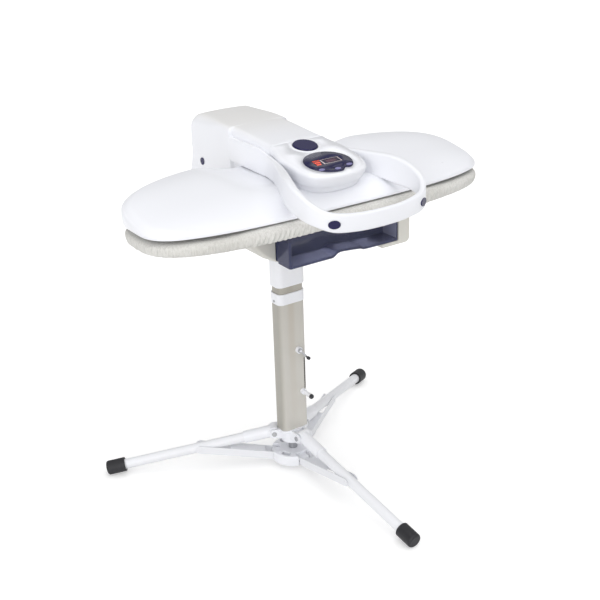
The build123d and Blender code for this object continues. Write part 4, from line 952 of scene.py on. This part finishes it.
def flat_plate(name, outer, holes, depth):
    """A thin plate in the panel's plane with holes, its walls going down by a depth."""
    work = bmesh.new()
    edges = []
    loops = []
    for outline in [outer] + holes:
        verts = [work.verts.new(point) for point in outline]
        edges += [work.edges.new(pair) for pair in zip(verts, verts[1:] + verts[:1])]
        loops.append(verts)
    bmesh.ops.triangle_fill(work, edges=edges, use_beauty=True, normal=panel_out)
    for verts in loops:
        lower = [work.verts.new(vert.co - panel_out * depth) for vert in verts]
        for index in range(len(verts)):
            after = (index + 1) % len(verts)
            work.faces.new((verts[index], verts[after], lower[after], lower[index]))
    bmesh.ops.recalc_face_normals(work, faces=work.faces)
    mesh = bpy.data.meshes.new(name)
    write_back(work, mesh)
    return mesh


def control_pod():
    """The pod's body, its cap with a rounded edge, the panel, and the raised ring round the steam button."""
    body_rings = [pod_ring(level, shrink * mm)
                  for level, shrink in ((0.0, 22), (0.0, 9), (0.03, 5.5), (0.1, 3.5), (0.2, 5))]
    cap_foot = [pod_ring(1.0, shrink * mm, pod_cap_depth + drop * mm)
                for shrink, drop in ((5, 1.5), (2, 0), (0.4, -2))]
    rims = [pod_ring(1.0, pod_edge * (1 - math.cos(turn)), pod_edge * (1 - math.sin(turn)))
            for turn in quarter(5)]
    mesh = skin("control pod", body_rings + cap_foot + rims, start_cap=True)
    panel = flat_plate("panel", rims[-1], [display_outline(), steam_circle(ring_radius)], 4 * mm)
    # Radius and height of the raised ring, from its outer foot to the wall of the button's hole
    profile = [(ring_radius + 5 * mm, 0.0),
               (ring_radius + 2.6 * mm, 0.5 * mm),
               (ring_radius + 1 * mm, 1.5 * mm),
               (ring_radius - 1.5 * mm, 1.9 * mm),
               (steam_radius + 1.3 * mm, 1.4 * mm),
               (steam_radius + steam_gap, 0.0),
               (steam_radius + steam_gap, -8 * mm)]
    raised_ring = skin("steam ring", [steam_circle(radius, out) for radius, out in profile])
    work = bmesh.new()
    for shape in (mesh, panel, raised_ring):
        work.from_mesh(shape)
    close_seams(work, 1e-6)
    write_back(work, mesh)
    piece("control_pod_shell", mesh, "head", "white_plastic", "control_pod")


def display_cover():
    """The navy cover: open over the lit panel and round the three buttons."""
    holes = [window_outline(0, display_lift)]
    holes += [button_outline(key, display_lift) for key in ("left_button", "middle_button", "right_button")]
    mesh = flat_plate("display cover", display_outline(-0.5 * mm, display_lift), holes, 2.4 * mm)
    piece("display_cover_plate", mesh, "head", "display_dark", "display_lens")


def lit_plate():
    """The lit panel's own plate, a little wider than its window."""
    mesh = flat_plate("lit panel", window_outline(1.5 * mm, 0), [], 1.2 * mm)
    piece("lit_panel_plate", mesh, "head", "display_glow", "lcd_panel")


control_pod()
display_cover()
lit_plate()


# Handle: a horseshoe band with rounded edges. Its lines are in mm, the plan as x and y of the right
# half from the rear to the front, the side lines as y and the height over the cover's seam.

band_inner = [(76, 109), (76, 60), (76, 20), (76, -20), (76, -60), (83, -105), (96, -150), (114, -200),
              (134, -250), (146, -300), (141, -343), (113, -372), (57, -385.5), (0, -388)]
band_outer = [(84.7, 109), (85, 60), (85, 20), (85, -20), (85, -60), (96, -105), (114, -150), (136, -200),
              (155, -250), (163, -300), (155, -348), (121, -385), (60, -398.5), (0, -402)]
band_upper = [(110, 99), (20, 98), (-30, 97), (-60, 90), (-85, 89), (-200, 89.5), (-250, 88), (-300, 76),
              (-340, 60), (-385, 37), (-410, 27)]
band_lower = [(110, 39), (20, 37.5), (-30, 36), (-60, 36), (-85, 35.5), (-200, 34), (-250, 25), (-300, 18),
              (-350, 8), (-385, -6), (-410, -14)]
plate_edge = 1.4 * mm
band_edge = 6.8 * mm


def band_ring(inner, outer, corner):
    """A rounded cross-section between the band's inner and outer plan points."""
    across = Vector((outer[0] - inner[0], outer[1] - inner[1], 0))
    half = across.length / 2 * mm
    across.normalize()
    middle_y = (inner[1] + outer[1]) / 2
    top = height_along(band_upper, middle_y) * mm + cover_seam
    foot = height_along(band_lower, middle_y) * mm + cover_seam
    centre = Vector(((inner[0] + outer[0]) / 2, middle_y, 0)) * mm
    corner = min(corner, half * 0.98)
    ring = []
    for side, middle_z, begin in ((1, top - corner, 0), (-1, top - corner, 90),
                                  (-1, foot + corner, 180), (1, foot + corner, 270)):
        for turn in quarter(5):
            turn += math.radians(begin)
            sideways = side * (half - corner) + corner * math.cos(turn)
            ring.append(centre + across * sideways + Vector((0, 0, middle_z + corner * math.sin(turn))))
    return ring


def handle_band():
    """The band's right half from the plate beside the neck to the middle of the front, and its mirror."""
    steps = 150
    rings = []
    for step in range(steps + 1):
        share = step / steps
        inner = curve_point(band_inner, share)
        outer = curve_point(band_outer, share)
        # The thin plate's small edge radius grows into the band's round one
        rounding = smooth_step(-inner[1], 40, 130)
        rings.append(band_ring(inner, outer, plate_edge + (band_edge - plate_edge) * rounding))
    mesh = skin("handle band", rings, start_cap=True)
    mirrored = mesh.copy()
    for vertex in mirrored.vertices:
        vertex.co.x = -vertex.co.x
    work = bmesh.new()
    work.from_mesh(mesh)
    work.from_mesh(mirrored)
    close_seams(work, 1e-5)
    bmesh.ops.recalc_face_normals(work, faces=work.faces)
    write_back(work, mesh)
    piece("handle_band", mesh, "head", "white_plastic", "handle_loop")


handle_band()


# Ironing board: foam in a gathered cotton cover

pad_low, pad_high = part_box("pad_cover")
board_centre_y = (pad_low.y + pad_high.y) / 2
board_half_length = (pad_high.x - pad_low.x) / 2
board_half_depth = (pad_high.y - pad_low.y) / 2
pad_bottom = pad_low.z
cloth_thickness = 1.2 * mm
pleat_depth = 1.5 * mm
drop_from = 200 * mm
drop_full = 330 * mm
drop_depth = 5 * mm
# Place along the front, width and depth in mm of the deep tucks beside the base
tucks = [(-240, 7, 3.0), (-221, 6, -2.6), (-203, 7, 3.6), (-184, 6, -3.2), (-165, 7, 4.0), (-147, 6, -3.4),
         (-128, 7, 3.2), (-104, 8, -2.2), (236, 7, 2.4), (205, 7, -2.8), (168, 7, 3.0), (131, 7, -2.6)]
# Height and inset in mm of the cover's section, from the turned-in hem round the edge and over the top
cover_section = [(2.5, 34), (0.4, 33), (0, 26), (0, 18), (0, 11), (0.5, 6), (2, 3), (5, 1.2), (9, 0.3),
                 (14, 0), (19, 0.2), (23, 1), (26.5, 2.6), (29.5, 5.2), (31.8, 8.8), (33.2, 13.5), (33.9, 20),
                 (34.4, 32), (35, 60), (35.4, 85), (35.7, 110), (35.8, 135), (35.8, 152)]


def board_ring(height, inset, count):
    half_depth = board_half_depth - inset
    return [Vector((x, board_centre_y + y, height))
            for x, y in oval(board_half_length - inset, half_depth, half_depth, count)]


def end_drop(x, height):
    """How far the board's upper part is drawn down towards its ends, height being in mm over its bottom."""
    return drop_depth * smooth_step(height, 16, 30) * smooth_step(abs(x), drop_from, drop_full)


def tuck_shift(x, height):
    """How far the deep tucks push the cover out or in at a place along the front, all in mm."""
    shift = 0.0
    for tuck, width, depth in tucks:
        near = (x - tuck - 0.5 * (height - 17)) / width
        shift += depth * math.exp(-near ** 2) * math.cos(near * 3.4)
    return shift


def pad_cover():
    """The cotton cover, with fine gathers round its edge and deep tucks in front."""
    rings = []
    for height, inset in cover_section:
        ring = board_ring(pad_bottom + height * mm, inset * mm, 1400)
        gathered = smooth_step(34 - height, 4, 30) * smooth_step(34 - inset, 2, 20)
        for point in ring:
            seed = Vector((point.x * 90, point.y * 90, height * 0.02))
            pleat = noise.noise(seed) + 0.5 * noise.noise(seed * 2.7)
            outward = oval_outward(point, board_centre_y, board_half_length, board_half_depth)
            shift = pleat * pleat_depth * gathered
            if point.y < board_centre_y:
                shift += tuck_shift(point.x / mm, height) * mm * gathered
            point.z -= end_drop(point.x, height)
            point += outward * shift
        rings.append(ring)
    mesh = skin("pad cover", rings, end_cap=True)
    made = piece("pad_cover_cloth", mesh, "press_base", "pad_fabric", "pad_cover")
    give_wall(made, cloth_thickness)


def foam_core():
    """The foam that fills the cover, its upper edge drawn in."""
    low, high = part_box("foam_pad")
    top = (high.z - low.z) / mm
    foam_section = [(0.4, 12), (0, 10.5), (4, 10.5), (14, 10.5), (top - 7, 11), (top - 2.5, 16),
                    (top - 0.6, 24), (top - 0.4, 90)]
    rings = [board_ring(low.z + height * mm, inset * mm, 360) for height, inset in foam_section]
    for ring in rings:
        for point in ring:
            point.z -= end_drop(point.x, (point.z - pad_bottom) / mm)
    mesh = skin("foam core", rings, start_cap=True, end_cap=True)
    made = piece("foam_core", mesh, "press_base", "foam", "foam_pad")


pad_cover()
foam_core()


# Studio: a pale floor, soft lamps and the camera

world_light = 0.5
floor_glow = 0.36
floor_reach = 40
floor_rear = 60
image_width = 600
focal_pixels = 1072.37
sensor_width = 36
camera_place = (-1.3438, -2.1186, 1.5684)
camera_heading = math.radians(-33.113)
camera_pitch = math.radians(-23.575)
camera_roll = math.radians(-1.861)


def floor():
    """The floor, which keeps the press's shadow and looks white to the camera."""
    mesh = skin("floor", [[Vector((-floor_reach, y, 0)), Vector((floor_reach, y, 0))]
                          for y in (-floor_reach, floor_rear)], closed=False)
    made = bpy.data.objects.new("floor", mesh)
    bpy.context.collection.objects.link(made)
    material, tree, shader = start_finish("studio floor")
    shader.inputs["Base Color"].default_value = (0.82, 0.82, 0.82, 1)
    shader.inputs["Roughness"].default_value = 0.9
    shader.inputs["Specular IOR Level"].default_value = 0.1
    seen = tree.nodes.new("ShaderNodeLightPath")
    direct = larger(tree, seen.outputs["Is Camera Ray"],
                    larger(tree, seen.outputs["Is Glossy Ray"], seen.outputs["Is Transmission Ray"]))
    glow = node(tree, "ShaderNodeEmission", Color=(1, 1, 1, 1), Strength=times(tree, direct, floor_glow))
    both = tree.nodes.new("ShaderNodeAddShader")
    link(tree, shader.outputs[0], both.inputs[0])
    link(tree, glow.outputs[0], both.inputs[1])
    link(tree, both.outputs[0], tree.nodes["Material Output"].inputs["Surface"])
    mesh.materials.append(material)


def soft_sun(name, azimuth, height, strength, spread):
    """A broad even light from a direction in degrees, azimuth 0 being straight from the front."""
    data = bpy.data.lights.new(name, "SUN")
    data.energy = strength
    data.angle = math.radians(spread)
    lamp = bpy.data.objects.new(name, data)
    bpy.context.collection.objects.link(lamp)
    turn = math.radians(azimuth)
    rise = math.radians(height)
    source = Vector((math.sin(turn) * math.cos(rise), -math.cos(turn) * math.cos(rise), math.sin(rise)))
    lamp.rotation_euler = source.to_track_quat("Z", "Y").to_euler()


def studio():
    """An even pale room that looks white behind the press, a key light from the left, a fill from above."""
    world = bpy.data.worlds.new("studio")
    world.use_nodes = True
    bpy.context.scene.world = world
    tree = world.node_tree
    background = tree.nodes["Background"]
    seen = tree.nodes.new("ShaderNodeLightPath")
    direct = larger(tree, seen.outputs["Is Camera Ray"], seen.outputs["Is Transmission Ray"])
    background.inputs["Color"].default_value = (1, 1, 1, 1)
    link(tree, plus(tree, times(tree, direct, 1 - world_light), world_light), background.inputs["Strength"])
    soft_sun("key light", -55, 17, 1.22, 45)
    soft_sun("fill light", 20, 72, 1.2, 70)


def camera():
    """The camera in front of the press's left side, looking down on it."""
    data = bpy.data.cameras.new("camera")
    data.sensor_width = sensor_width
    data.lens = focal_pixels * sensor_width / image_width
    made = bpy.data.objects.new("camera", data)
    bpy.context.collection.objects.link(made)
    forward = Vector((-math.sin(camera_heading) * math.cos(camera_pitch),
                      math.cos(camera_heading) * math.cos(camera_pitch), math.sin(camera_pitch)))
    right = forward.cross(Vector((0, 0, 1))).normalized()
    up = right.cross(forward)
    turned_right = right * math.cos(camera_roll) + up * math.sin(camera_roll)
    turned_up = up * math.cos(camera_roll) - right * math.sin(camera_roll)
    axes = Matrix((turned_right, turned_up, -forward)).transposed()
    made.matrix_world = Matrix.Translation(camera_place) @ axes.to_4x4()
    bpy.context.scene.camera = made


floor()
studio()
camera()
bpy.context.scene.view_settings.view_transform = "Standard"
